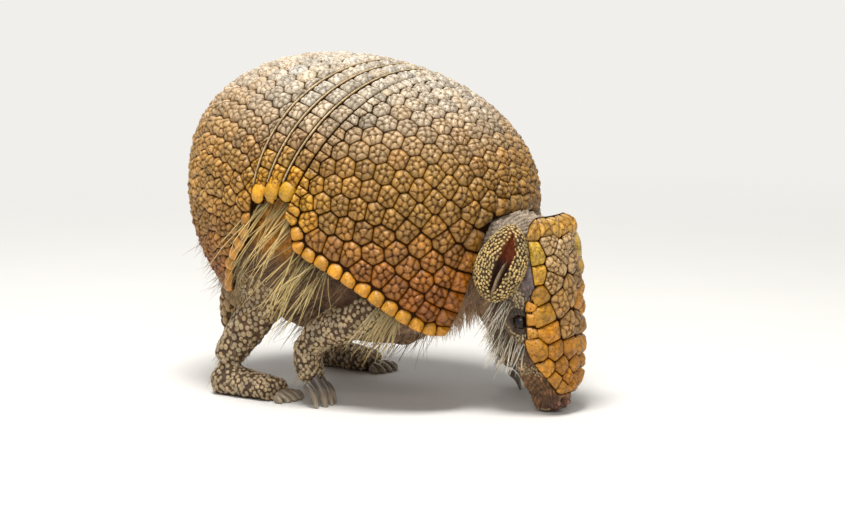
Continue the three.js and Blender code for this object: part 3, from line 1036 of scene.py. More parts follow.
        # Painted shade: the furrows and the corners where nodules meet get a low relief, which the finish
        # darkens.
        dark = np.minimum(0.75 * (1 - swell) + 0.9 * corner, 1.0)
        furrowed = 1 - dark * furrow_shading * (1 - 0.45 * worn)
        # Painted shade: a thin band at each scute's rim gets no relief, so that the groove colour fills it.
        unshaded = 1 - np.exp(-((inward / 0.2) ** 1.5))
        fused = self.seeds.kinds[:, None, None] == ScuteKind.FUSED.value
        unshaded = np.where(fused, 0.45 + 0.55 * unshaded, unshaded)
        # Higher nodules get a higher relief: a painted highlight.
        relief = np.minimum(unshaded * furrowed, 1.0) * (1 + lift * 0.6)
        relief = np.broadcast_to(relief, height.shape).copy()
        relief[:, :, :2] = np.where(fused, 0.4, 0.0)
        return height, relief

    def _piece(self, name: str, points: Array, relief: Array, tint: Array, normal: Array) -> Piece:
        """Joins scutes into one mesh, each closed underneath.

        Args:
            name: the piece's name.
            points: each scute's vertices, by corner and then by ring.
            relief: their relief.
            tint: each scute's colour and pitting.
            normal: each scute's outward direction.

        Returns:
            The piece.
        """
        count, corners, rings = points.shape[:3]
        crown = points[:, :, -1].mean(axis=1)
        floor = points[:, :, 0].mean(axis=1) - normal * 0.1
        wall = points[:, :, :-1].transpose(0, 2, 1, 3).reshape(count, -1, 3)
        vertices = np.concatenate([wall, crown[:, None], floor[:, None]], axis=1)
        rim = relief[:, :, :-1].transpose(0, 2, 1).reshape(count, -1)
        depth = np.concatenate([rim, relief[:, 0, -1:], np.zeros((count, 1))], axis=1)
        piece = make_like(name, vertices, *bead_faces(rings - 1, corners))
        tint = np.repeat(tint, vertices.shape[1], axis=0)
        paint(piece, tint[:, :3], depth, tint[:, 3])
        return piece


@dataclass(frozen=True)
class ShellColours:
    """The carapace's colours, from the pale back, partly worn and partly a painted sheen, down to the orange
    margins.
    """

    # worn: the top's pale greyish colour, partly real wear and partly a painted sheen of the light from above
    worn: str = "#c4b59e"
    ochre: str = "#a57a36"
    orange: str = "#98580c"
    gold: str = "#c0924c"
    amber: str = "#b87f2c"
    yellow: str = "#cb8c20"
    bright: str = "#d2971a"

    def tint(self, places: Array, kinds: Array, rng: Chance) -> Array:
        """Each scute's colour, by its height on the shell and its kind, with its own small difference.

        Args:
            places: the middles of the scutes.
            kinds: their kinds.
            rng: the source of chance.

        Returns:
            Their linear colours.
        """
        x, _, height = places.T
        colour = blend_colours(srgb(self.orange), srgb(self.ochre), smooth_step(height, 44, 84))
        # Painted sheen and wear: the highest scutes fade to the pale greyish colour.
        pale = smooth_step(height, 92, 128)
        colour = blend_colours(colour, srgb(self.worn), pale)
        behind = 0.75 * smooth_step(-x, 8, 40) * (1 - 0.6 * pale) * smooth_step(height, 46, 84)
        colour = blend_colours(colour, srgb(self.gold), behind)
        ends = ARCHES.point(0.0, np.array([-57.0, 57.0]))
        gap = np.minimum(*(np.linalg.norm(places - end, axis=1) for end in ends))
        colour = blend_colours(colour, srgb(self.bright), 0.9 * (1 - smooth_step(gap, 9.0, 24.0)))
        rim = blend_colours(srgb(self.amber), srgb(self.yellow), smooth_step(x, -4, 14))
        colour = np.where((kinds == ScuteKind.MARGIN.value)[:, None], rim, colour)
        colour[kinds == ScuteKind.LOBE.value] = srgb(self.bright)
        return vary(colour, rng)


def vary(colour: Array, rng: Chance) -> Array:
    """The colours, each a little lighter or darker and warmer or cooler by chance.

    Args:
        colour: linear colours, one a row.
        rng: the source of chance.

    Returns:
        The varied colours.
    """
    value = rng.normal(1.0, 0.08, len(colour))
    warmth = rng.normal(0.0, 0.03, len(colour))
    return np.clip(colour * value[:, None] * (1 + warmth[:, None] * np.array([1.0, 0.0, -1.6])), 0.0, 1.0)


SHELL_COLOURS = ShellColours()


def base_plate(
    name: str, patch: Patch, grid: tuple[int, int], inset: tuple[float, float], solid: float
) -> Piece:
    """The bone under the scutes, a grid laid on the carapace and given its thickness.

    Args:
        name: the piece's name.
        patch: the outline it fills.
        grid: how many rows it has from its first edge to its second, and how many columns across.
        inset: how far in its first edge lies, and how much less far its second.
        solid: its thickness.

    Returns:
        The closed plate.
    """
    rows, columns = grid
    bpy.ops.object.select_all(action="DESELECT")
    bpy.ops.mesh.primitive_grid_add(x_subdivisions=columns - 1, y_subdivisions=rows - 1, size=2.0)
    plate = bpy.context.object
    plate.name = plate.data.name = name
    flat = np.empty(len(plate.data.vertices) * 3)
    plate.data.vertices.foreach_get("co", flat)
    flat = flat.reshape(-1, 3)
    u, v = (1 - flat[:, 1]) / 2, flat[:, 0]
    laid = to_frame(patch.at(u, v, inset[0] - inset[1] * u))
    plate.data.vertices.foreach_set("co", laid.ravel())
    plate.data.update()
    first = plate.data.polygons[0]
    middle = from_frame(np.array(first.center))
    outward = first.normal.dot(Vector(patch.surface.normal(middle[None])[0])) > 0
    thicken = plate.modifiers.new("thickness", "SOLIDIFY")
    thicken.thickness = solid * MM
    thicken.offset = -1.0 if outward else 1.0
    bpy.ops.object.modifier_apply(modifier=thicken.name)
    bpy.ops.object.mode_set(mode="EDIT")
    bpy.ops.mesh.select_all(action="SELECT")
    bpy.ops.mesh.normals_make_consistent(inside=False)
    bpy.ops.object.mode_set(mode="OBJECT")
    plate.data.shade_smooth()
    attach(plate, BODY)
    return plate


@dataclass
class Carapace:
    """The whole armour of the back: two shields, the bands between them and the scutes on each."""

    finish: HornyPlate = HornyPlate()
    base_inset: float = 1.6  # the bone's outside, under the scutes
    thickness: float = 1.2
    scute_width: float = 8.3
    row_pitch: float = 7.3
    first_row: float = 4.4
    most_rows: int = 30
    bead_row: float = 1.6  # how far the scapular shield's row of beads lies behind its first edge
    bead_width: float = 4.0
    neck_from: float = 60.0  # forward of here the free edge is the collar round the neck
    margin_width: float = 6.5
    margin_inset: float = 1.95
    collar_inset: float = 4.0
    edge_room: float = 6.6  # the least distance from a row's scute to the free edge
    collar_room: float = 8.2
    band_end: float = 0.94  # where a band's scutes stop and its lobes start
    band_tip: float = 1.005
    lobe_overlap: float = 0.015
    rim_from: float = 0.86  # where a band's rim starts, from its front edge to its rear
    # rim_dark: painted shade at the rim's low edges, in the step between bands
    rim_dark: str = "#6b5030"
    rim_pale: str = "#c2a77a"

    def build(self, rng: Chance) -> list[Piece]:
        """Makes every piece of the carapace.

        Args:
            rng: the source of chance.

        Returns:
            The pieces.
        """
        skin = self.finish.material()
        made: list[Piece] = []
        made += self.shield("scapular", ScapularPatch(), rng, bead_row=True, bare=0.1)
        made += self.shield("pelvic", PelvicPatch(), rng, bead_row=False, bare=0.3)
        for index in range(ARCHES.band_count):
            made += self.band(index, rng)
        for piece in made:
            piece.data.materials.append(skin)
        return made

    def shield(self, name: str, patch: Patch, rng: Chance, bead_row: bool, bare: float) -> list[Piece]:
        """Makes a shield with its scutes in rows parallel to the bands and one row along its margin.

        Args:
            name: the shield's name.
            patch: its outline.
            rng: the source of chance.
            bead_row: whether a row of beads runs along its first edge.
            bare: how light the bone between its scutes is, from 0 to 1; the lower it is, the more painted
                groove shade covers it.

        Returns:
            Its plate and its scutes.
        """
        survey = Surveyed(patch, 150, 260)
        grid = survey.points
        free_edge = np.concatenate([grid[:, 0], grid[-1, 1:-1], grid[::-1, -1]])
        collar = along(free_edge, self.scute_width)
        rim = along(free_edge, self.margin_width)
        rim = np.concatenate([rim[rim[:, 0] <= self.neck_from], collar[collar[:, 0] > self.neck_from]])
        forward = rim[:, 0] > self.neck_from
        inset = np.where(forward, self.collar_inset, self.margin_inset)
        margin = survey.inside_margin(rim, inset[:, None])
        _, gap = nearest(margin, grid[0])
        kept = gap > self.collar_inset
        seeds = Seeds.of(margin[kept], ScuteKind.MARGIN, True)
        seeds.kinds[forward[kept]] = ScuteKind.FRONT.value
        start = self.first_row
        if bead_row:
            beads = along(survey.row(self.bead_row), self.bead_width)
            seeds = seeds + Seeds.of(beads, ScuteKind.BEAD, True)
            start = 2 * self.bead_row + self.row_pitch / 2
        for number in range(self.most_rows):
            line = survey.row(start + number * self.row_pitch)
            if len(line) < 4:
                break
            row = along(line, self.scute_width, 0.5 * (number % 2))
            _, gap = nearest(row, free_edge)
            _, rim_gap = nearest(row, rim)
            room = np.where(row[:, 0] > self.neck_from - 4, self.collar_room, self.edge_room)
            clear = (gap > self.edge_room) & (rim_gap > room)
            seeds = seeds + Seeds.of(row[clear], ScuteKind.ROSETTE, number == 0)
        seeds = survey.spread_evenly(seeds)
        log.info("%s shield: %d scutes", name, len(seeds.places))
        scutes = ScuteMesh(survey, seeds, rng).build(f"{name}_scutes", SHELL_COLOURS.tint)
        plate = base_plate(f"{name}_plate", patch, (60, 120), (self.base_inset, 0.0), self.thickness)
        # Painted shade: the bone's low relief lets the finish's dark groove colour cover it.
        paint(plate, srgb(BONE), bare, 0.0)
        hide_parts(f"{name}_shield")
        return [plate, *scutes]

    def band(self, index: int, rng: Chance) -> list[Piece]:
        """Makes a band: a plate, one row of scutes, a lobe at each end and a smooth rim behind.

        Args:
            index: the band's number, from the front.
            rng: the source of chance.

        Returns:
            Its pieces.
        """
        whole = BandPatch(index)
        end, inner = self.band_end, self.band_end - self.lobe_overlap
        row = SubPatch(whole, (0.02, 0.88), (-end, end))
        survey = Surveyed(row, 14, 300)
        middle = row.at(np.full(300, 0.5), np.linspace(-1, 1, 300))
        seeds = Seeds.of(along(middle, self.scute_width * 0.94, 0.5, fit=True), ScuteKind.ROSETTE, True)
        name = f"band_{index + 1}"
        scutes = ScuteMesh(survey, seeds, rng).build(f"{name}_scutes", SHELL_COLOURS.tint)
        lobes = []
        for ends in ((-self.band_tip, -inner), (inner, self.band_tip)):
            part = SubPatch(whole, (-0.10, 1.12), ends, rounded=True)
            seed = Seeds.of(part.at(np.array([0.5]), np.array([0.0])), ScuteKind.LOBE, True)
            raised = ScuteMesh(Surveyed(part, 30, 30), seed, rng, edge_span=9.0)
            lobes += raised.build(f"{name}_lobe", SHELL_COLOURS.tint)
        plate = base_plate(f"{name}_plate", whole, (14, 140), (1.75, 0.7), 1.0)
        # Painted shade: no relief, so the band's bone takes the dark groove colour.
        paint(plate, srgb(BONE), 0.0)
        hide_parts(name)
        rim = self.rim(f"{name}_rim", SubPatch(whole, (self.rim_from, 1.0), (-end, end)))
        return [plate, *scutes, *lobes, rim]

    def rim(self, name: str, patch: Patch) -> Piece:
        """The pale raised rim along a band's rear edge.

        Args:
            name: the piece's name.
            patch: its outline.

        Returns:
            The closed rim.
        """
        rows, columns = 9, 240
        u, v = np.meshgrid(np.linspace(0, 1, rows), np.linspace(-1, 1, columns), indexing="ij")
        arch = np.sin(np.pi * np.clip(u, 0, 1)) ** 0.5
        top = patch.at(u, v, 0.95 - 0.75 * arch)
        under = patch.at(u, v, 2.0 + 0 * u)
        upper = grid_faces(rows, columns)
        number = np.arange(rows * columns).reshape(rows, columns)
        loop = np.concatenate([number[0, :-1], number[:-1, -1], number[-1, :0:-1], number[:0:-1, 0]])
        after = np.roll(loop, -1)
        side = np.stack([after, loop, loop + number.size, after + number.size], axis=1)
        points = np.concatenate([top.reshape(-1, 3), under.reshape(-1, 3)])
        piece = make_piece(name, points, upper, upper[:, ::-1] + number.size, side)
        arch = arch.ravel()
        # The rim runs from dark at its low edges, painted shade of the step between bands, to pale on its
        # crest.
        colour = blend_colours(srgb(self.rim_dark), srgb(self.rim_pale), arch)
        colour = np.concatenate([colour, np.tile(srgb(BONE), (number.size, 1))])
        paint(piece, colour, np.concatenate([0.35 + 0.65 * arch, 0 * arch]))
        return piece


# ---------------------------------------------------------------- the head shield
def through_rows(values: Sequence[float], t: Array) -> Array:
    """A smooth curve through evenly spaced values, at t from 0 to 1.

    Args:
        values: what the curve goes through.
        t: how far along it each answer lies.

    Returns:
        The values at t.
    """
    rows = np.array(values, float)
    place = np.clip(np.asarray(t, float), 0, 1) * (len(rows) - 1)
    i = np.minimum(place.astype(int), len(rows) - 2)
    f = place - i
    before, low, high = rows[np.maximum(i - 1, 0)], rows[i], rows[i + 1]
    after = rows[np.minimum(i + 2, len(rows) - 1)]
    slope, next_slope = (high - before) / 2, (after - low) / 2
    cubic = (2 * low - 2 * high + slope + next_slope) * f**3
    return cubic + (3 * high - 3 * low - 2 * slope - next_slope) * f**2 + slope * f + low


@dataclass(frozen=True)
class Forehead(Surface):
    """The sheet that the head shield lies on, bowed across the forehead and down to the snout."""

    heights: tuple[float, ...] = (76.6, 74.2, 68.0, 58.0, 49.0, 43.5, 37.0, 30.0, 22.0, 14.0, 8.0)
    fronts: tuple[float, ...] = (91.2, 93.4, 95.6, 97.3, 98.0, 98.3, 98.6, 99.0, 99.3, 99.4, 98.8)
    halves: tuple[float, ...] = (10.5, 15.6, 17.8, 17.9, 17.3, 19.0, 18.8, 18.6, 16.6, 12.5, 6.5)
    sag: float = 5.6
    wrap: float = 2.7  # how far its edges turn back beside the eyes

    def at_height(self, height: Array, values: Sequence[float]) -> Array:
        """The value at a height, where values holds one for each of heights."""
        steps = np.linspace(0, 1, 120)
        return np.interp(height, through_rows(self.heights, steps)[::-1], through_rows(values, steps)[::-1])

    def front_at(self, height: Array) -> Array:
        """How far forward the middle of the forehead stands at a height."""
        return self.at_height(height, self.fronts)

    def project(self, points: Array, inset: float | Array = 0.0) -> Array:
        """Carries points straight back or forward onto the sheet.

        Args:
            points: the points.
            inset: how far behind the sheet they come to lie.

        Returns:
            The carried points.
        """
        height, across = points[..., 2], np.abs(points[..., 1])
        beside = smooth_step(height, 12, 26) * (1 - smooth_step(height, 44, 52))
        turned = smooth_step(across - self.at_height(height, self.halves), -2.2, 0.2)
        bow = self.sag * (across / max(self.halves)) ** 2 + self.wrap * beside * turned
        x = self.front_at(height) - bow - inset
        return np.stack([x, points[..., 1], points[..., 2]], axis=-1)

    def normal(self, points: Array) -> Array:
        """The forward direction out of the sheet.

        Args:
            points: the points.

        Returns:
            The directions, each of length 1.
        """
        across = 2 * self.sag * points[..., 1] / max(self.halves) ** 2
        slope = (self.front_at(points[..., 2] + 2.0) - self.front_at(points[..., 2] - 2.0)) / 4.0
        return unit(np.stack([np.ones_like(across), across, -slope], axis=-1))


@dataclass(frozen=True)
class ForeheadPatch(Patch):
    """The head shield's outline, from its top rim at u = 0 to its tip over the snout at u = 1."""

    surface: Forehead = Forehead()
    share: float = 1.0  # of the shield's width

    def at(self, u: Array, v: Array, inset: float | Array = 0.0) -> Array:
        """A place on the shield.

        Args:
            u: how far down, from 0 at the rim to 1 at the tip.
            v: how far across, from -1 to 1.
            inset: how far behind the sheet it lies.

        Returns:
            The place.
        """
        u, v = np.broadcast_arrays(np.asarray(u, float), np.asarray(v, float))
        height = through_rows(self.surface.heights, u)
        y = v * through_rows(self.surface.halves, u) * self.share
        return self.surface.project(np.stack([0 * y, y, height], axis=-1), inset)


@dataclass
class HeadShield:
    """The plates of the forehead: a fused rim above, yellow plates at the sides and pitted ones between."""

    finish: HornyPlate
    # Each row from the top: its height, then where its plates stand across it.
    rows: tuple[tuple[float, tuple[float, ...]], ...] = (
        (73.6, (-14.0, -8.6, -2.8, 2.8, 8.2, 13.6)),
        (66.8, (-8.4, 4.2)),
        (63.4, (-15.8, -3.4, 14.8)),
        (58.6, (-7.0, 6.6)),
        (55.2, (-15.2, 15.6)),
        (52.4, (-9.8, 9.8)),
        (48.0, (-14.8, 2.6, 15.6)),
        (43.8, (-6.0, 10.4)),
        (40.0, (-13.2, 13.8)),
        (34.2, (-1.0, 8.4)),
        (32.4, (-11.4, 14.4)),
        (25.6, (-15.8, -9.2, 0.3, 8.6, 15.0)),
        (18.9, (-12.8, -5.8, 3.6, 11.0)),
        (14.0, (-9.6, -1.8, 5.0, 9.6)),
        (10.6, (-4.6, 1.2)),
    )
    temple_rows: tuple[float, ...] = (43.6, 38.4, 32.8)  # slender plates wrapped round beside the eyes
    amber: str = "#be8010"
    bronze: str = "#b47608"
    yellow: str = "#cfa636"
    dun: str = "#b08648"
    grey: str = "#bd9c6c"
    rolled: str = "#c09038"
    rolled_from: float = 72.0  # above this the plates are fused into the rolled rim
    temple: float = 18.6  # how far out the slender plates stand
    dun_from: float = 31.0  # above this the middle plates are dull and pitted
    dun_half: float = 10.0
    wander: float = 0.35

    def build(self, rng: Chance) -> list[Piece]:
        """Makes the shield's base and its plates.

        Args:
            rng: the source of chance.

        Returns:
            The base and the plates.
        """
        patch = ForeheadPatch()
        survey = Surveyed(patch, 110, 80)
        places = np.array([[0.0, y, height] for height, row in self.rows for y in row])
        places[:, 1:] += rng.uniform(-self.wander, self.wander, (len(places), 2))
        slender = np.array([[0.0, side * self.temple, z] for z in self.temple_rows for _, side in SIDES])
        dull = (np.abs(places[:, 1]) < self.dun_half) & (places[:, 2] > self.dun_from)
        rim = places[:, 2] > self.rolled_from
        seeds = Seeds.of(patch.surface.project(places), ScuteKind.PLATE, True)
        seeds.kinds[dull] = ScuteKind.PITTED.value
        seeds.kinds[rim] = ScuteKind.FUSED.value
        seeds = seeds + Seeds.of(patch.surface.project(slender), ScuteKind.SLENDER, True)

        plates = ScuteMesh(survey, seeds, rng, corners=56)
        plates.smoothness = np.zeros(len(seeds.places))
        made = plates.build("head_plates", self.tint)
        base = base_plate("head_shield_base", ForeheadPatch(share=0.93), (60, 44), (1.7, 0.0), 1.0)
        # Painted shade: the low relief lets the dark groove colour cover the bone between the plates.
        paint(base, srgb(BONE), 0.15, 0.0)
        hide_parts("head_shield")
        horn = self.finish.material()
        for piece in [base, *made]:
            piece.data.materials.append(horn)
        return [base, *made]

    def tint(self, places: Array, kinds: Array, rng: Chance) -> Array:
        """Yellow at the temples, amber below and duller in the middle, greyest at the top.

        Args:
            places: the plates' middles.
            kinds: their kinds.
            rng: the source of chance.

        Returns:
            A linear colour for each plate.
        """
        side = smooth_step(np.abs(places[:, 1]), 8.0, 14.0)
        high = smooth_step(places[:, 2], 44.0, 64.0)
        colour = blend_colours(srgb(self.bronze), srgb(self.amber), side)
        colour = blend_colours(colour, srgb(self.yellow), high * side)
        dull = blend_colours(srgb(self.dun), srgb(self.grey), high)
        colour = np.where((kinds == ScuteKind.PITTED.value)[:, None], dull, colour)
        colour[kinds == ScuteKind.FUSED.value] = srgb(self.rolled)
        return vary(colour, rng)


# ---------------------------------------------------------------- the body under the armour
@dataclass(frozen=True)
class BodyPart:
    """A stretch of the body, from one end of its axis to the other, with its hide's look."""

    name: str
    start: tuple[float, float, float]
    end: tuple[float, float, float]
    radius: float
    hide: str
    scale: str
    scale_size: float = 0.0  # half width of its scales, 0 for bare skin


def both_sides(name: str, start: tuple, end: tuple, *rest: object) -> list[BodyPart]:
    """The right and the left copy of a part drawn on the left.

    Args:
        name: the part's name, before its side.
        start: where its axis starts.
        end: where its axis ends.
        rest: its radius, hide, scale and scale size.

    Returns:
        Both parts.
    """
    parts = []
    for side, sign in SIDES:
        axis = [(x, sign * y, z) for x, y, z in (start, end)]
        parts.append(BodyPart(f"{name}_{side}", *axis, *rest))
    return parts


STRAW, LEG_HIDE = "#a89270", "#5a4634"
BODY_PLAN: tuple[BodyPart, ...] = (
    # The trunk's dark brown hide is partly painted shade: the skin under the shell is made darker than it is.
    BodyPart("trunk", (-50, 0, 62), (46, 0, 66), 44, "#6b4c33", STRAW),
    BodyPart("neck", (56, 0, 66), (78, 0, 60), 18, "#a8937f", STRAW),
    BodyPart("brow", (82, 0, 68), (83, 0, 42), 17, "#745a44", "#b9a680", 0.7),
    BodyPart("snout", (85, 0, 26), (90, 0, 3), 9, "#a77a50", "#b59a70", 0.6),
    BodyPart("tail", (-45, 0, 58), (-64, 3, 27), 12.0, "#5b442e", "#b08a52", 1.75),
    BodyPart("tail_tip", (-64, 3, 27), (-64.5, 6.5, 6), 5, "#5b442e", "#b8945c", 1.35),
    *both_sides("upper_arm", (48, 26, 62), (37, 35, 43), 9, "#7c5f45", STRAW, 1.1),
    BodyPart("forearm_right", (34, -37, 40), (6, -41, 27), 7, LEG_HIDE, STRAW, 1.15),
    BodyPart("forefoot_right", (3.2, -41, 24), (4, -40, 12), 6, LEG_HIDE, STRAW, 0.95),
    BodyPart("forearm_left", (35, 37, 39), (42, 39.5, 24), 7, LEG_HIDE, STRAW, 1.15),
    BodyPart("forefoot_left", (43, 41, 20), (46, 40, 10.5), 6, LEG_HIDE, STRAW, 0.95),
    *both_sides("thigh", (-34, 24, 58), (-23, 33, 41), 11, "#8a6947", STRAW, 1.1),
    BodyPart("shank_right", (-23, -34, 37), (-39, -37, 15), 6.6, LEG_HIDE, STRAW, 1.2),
    BodyPart("hindfoot_right", (-41, -38.5, 5.4), (-15, -38.5, 3.7), 6.5, LEG_HIDE, STRAW, 1.0),
    BodyPart("shank_left", (-31, 34, 37), (-47, 37, 15), 6.6, LEG_HIDE, STRAW, 1.2),
    BodyPart("hindfoot_left", (-49, 38.5, 5.4), (-23, 38.5, 3.7), 6.5, LEG_HIDE, STRAW, 1.0),
)


class Hide:
    """The body's markings and its unwrap, both worked out from the body's own parts."""

    blur: float = 0.14  # how far parts run into each other, in their own radii

    def __init__(self) -> None:
        """Reads the plan into arrays."""
        self.starts = np.array([part.start for part in BODY_PLAN], float)
        self.ends = np.array([part.end for part in BODY_PLAN], float)
        self.radii = np.array([part.radius for part in BODY_PLAN], float)
        self.hides = np.array([srgb(part.hide) for part in BODY_PLAN])
        self.scales = np.array([srgb(part.scale) for part in BODY_PLAN])
        self.sizes = np.array([part.scale_size for part in BODY_PLAN])

    def measure(self, points: Array) -> tuple[Array, Array, Array]:
        """Measures points against each part.

        Args:
            points: places in drawn millimetres.

        Returns:
            Their distances from each part's axis in its own radii, their shares along it and their offsets.
        """
        axis = self.ends - self.starts
        length = (axis**2).sum(axis=1)
        away = points[:, None] - self.starts
        share = np.clip((away * axis).sum(axis=2) / length, 0, 1)
        offset = away - share[..., None] * axis
        return np.linalg.norm(offset, axis=2) / self.radii, share, offset

    def weights(self, points: Array) -> Array:
        """How much each part has to do with each point, adding up to 1.

        Args:
            points: the points.

        Returns:
            The weights, a row a point and a column a part.
        """
        near, _, _ = self.measure(points)
        weight = np.exp((near.min(axis=1, keepdims=True) - near) / self.blur)
        return weight / weight.sum(axis=1, keepdims=True)

    def skin_colour(self, points: Array) -> Array:
        """The bare skin's colour.

        Args:
            points: the points.

        Returns:
            Their linear colours.
        """
        weights = self.weights(points)
        belly = smooth_step(-points[:, 2], -58, -38) * smooth_step(-np.abs(points[:, 1]), -30, -14)
        pale = blend_colours(srgb("#a98564"), srgb("#c9a68a"), smooth_step(points[:, 0], 20, 55))
        colour = blend_colours(weights @ self.hides, pale, weights[:, 0] * belly)
        return blend_colours(colour, srgb("#d18a2c"), self.flank_fold(points))

    def flank_fold(self, points: Array) -> Array:
        """How far points lie in the soft orange fold under the ends of the bands, from 0 to 1.

        Args:
            points: the points.

        Returns:
            Their shares of the fold.
        """
        middle = ARCHES.point(-1.0, np.array([-64.0, 64.0]), 3.0)
        gap = np.minimum(*(np.linalg.norm(points - spot, axis=1) for spot in middle))
        return smooth_step(-gap, -18.0, -9.0)

    def scale_colour(self, points: Array) -> Array:
        """The colour of the scales on the skin."""
        return self.weights(points) @ self.scales

    def scale_size(self, points: Array) -> Array:
        """Half the width of the scales on the skin, 0 where it is bare."""
        owner = self.weights(points).argmax(axis=1)
        return self.sizes[owner]

    def unwrap(self, points: Array) -> Array:
        """Where points lie on a map that gives each part its own panel, along it and round it.

        Args:
            points: the points.

        Returns:
            Their places on the map.
        """
        near, share, offset = self.measure(points)
        owner = near.argmin(axis=1)
        pick = np.arange(len(points))
        along_axis = unit(self.ends - self.starts)[owner]
        across = unit(np.cross(along_axis, np.array([0.3, 0.5, 0.8])))
        up = np.cross(along_axis, across)
        out = offset[pick, owner]
        turn = np.arctan2((out * up).sum(axis=1), (out * across).sum(axis=1)) / (2 * math.pi) + 0.5
        columns = math.ceil(math.sqrt(len(BODY_PLAN)))
        size = 1 / columns
        panel = np.stack([owner % columns, owner // columns], axis=1) * size
        return panel + size * (0.04 + 0.92 * np.stack([share[pick, owner], turn], axis=1))


HIDE = Hide()


def map_to_roots(piece: Piece, roots: Array, spots: Array, patch: float = 0.003) -> None:
    """Maps each hair or scale of a piece to a small patch at its root's place on the skin's unwrap.

    Args:
        piece: a mesh of many like hairs or scales, one after another.
        roots: where each one stands on the skin.
        spots: each vertex's place within the patch, from 0 to 1 across and up it.
        patch: how wide the patch is on the map.
    """
    places = (HIDE.unwrap(roots)[:, None] + (spots[None] - 0.5) * patch).reshape(-1, 2)
    corners = np.empty(len(piece.data.loops), np.int32)
    piece.data.loops.foreach_get("vertex_index", corners)
    layer = piece.data.uv_layers.new(name="OFBake")
    layer.data.foreach_set("uv", places[corners].astype(np.float32).ravel())


@dataclass(frozen=True)
class HideFinish:
    """Dry wrinkled skin: matt, with fine creases and a little blood showing through."""

    name: str = "wrinkled_skin"
    crease: float = 0.9  # millimetres between fine creases
    wrinkle: float = 3.4  # millimetres between wrinkles
    blotch: float = 5.0  # millimetres across a blotch
    crease_depth: float = 0.5
    roughness: float = 0.68
    ior: float = 1.42
    translucence: float = 0.06
    bleed: float = 0.8  # millimetres that light travels under the skin

    def material(self) -> bpy.types.Material:
        """Builds the finish, coloured by the piece's tint, with painted shade in its fine creases and
        wherever its relief is low.

        Returns:
            The material.
        """
        made, tree, shader = new_material(self.name)
        place = add_node(tree, "TexCoord", {})["Object"]
        tint = add_node(tree, "Attribute", {}, attribute_name="tint")["Color"]
        relief = add_node(tree, "Attribute", {}, attribute_name="relief")["Fac"]
        cells = {"Vector": place, "Scale": per_metre(self.crease)}
        edge = add_node(tree, "TexVoronoi", cells, feature="DISTANCE_TO_EDGE")["Distance"]
        pores = add_node(tree, "MapRange", {0: edge, 1: 0.0, 2: 0.22, 3: 0.55})[0]
        drawn = add_node(tree, "Mapping", {"Vector": place, "Scale": (1.0, 1.0, 0.5)})[0]
        wave = {"Vector": drawn, "Scale": per_metre(self.wrinkle), "Detail": 2.0, "Distortion": 0.4}
        middle = add_node(tree, "TexNoise", wave)["Fac"]
        middle = add_node(tree, "Math", {0: middle, 1: 0.5}, operation="SUBTRACT")[0]
        middle = add_node(tree, "Math", {0: middle}, operation="ABSOLUTE")[0]
        furrow = add_node(tree, "MapRange", {0: middle, 1: 0.0, 2: 0.05, 3: 0.15})[0]
        creased = add_node(tree, "Math", {0: pores, 1: furrow}, operation="MULTIPLY")[0]
        cloud = {"Vector": place, "Scale": per_metre(self.blotch), "Detail": 5.0}
        mottle = add_node(tree, "TexNoise", cloud)["Fac"]
        mottle = add_node(tree, "MapRange", {0: mottle, 1: 0.3, 2: 0.7, 3: 0.62, 4: 1.38})[0]
        # Painted shade: the fine creases darken the colour as well as bumping it.
        line = add_node(tree, "MapRange", {0: creased, 3: 0.5, 4: 1.1})[0]
        # Painted shade: low relief, in folds, lid grooves, the mouth, the nostrils and the ear's opening,
        # darkens the colour.
        hollow = add_node(tree, "MapRange", {0: relief, 3: 0.25, 4: 1.0})[0]
        shade = add_node(tree, "Math", {0: mottle, 1: line}, operation="MULTIPLY")[0]
        shade = add_node(tree, "Math", {0: shade, 1: hollow}, operation="MULTIPLY")[0]
        colour = add_node(tree, "VectorMath", {0: tint, "Scale": shade}, operation="SCALE")[0]
        bump = {"Height": creased, "Distance": self.crease_depth * MM, "Strength": 0.8}
        wire(shader, {"Base Color": colour, "Normal": add_node(tree, "Bump", bump)[0]})
        wire(shader, {"Roughness": self.roughness, "IOR": self.ior})
        wire(shader, {"Subsurface Weight": self.translucence, "Subsurface Scale": self.bleed * MM})
        return made


FLESH = ("trunk", "neck", "head", "jaw", "tail") + tuple(
    f"{part}_{side}"
    for side in ("right", "left")
    for part in ("upper_arm", "forearm", "forefoot", "thigh", "shank", "hindfoot")
)


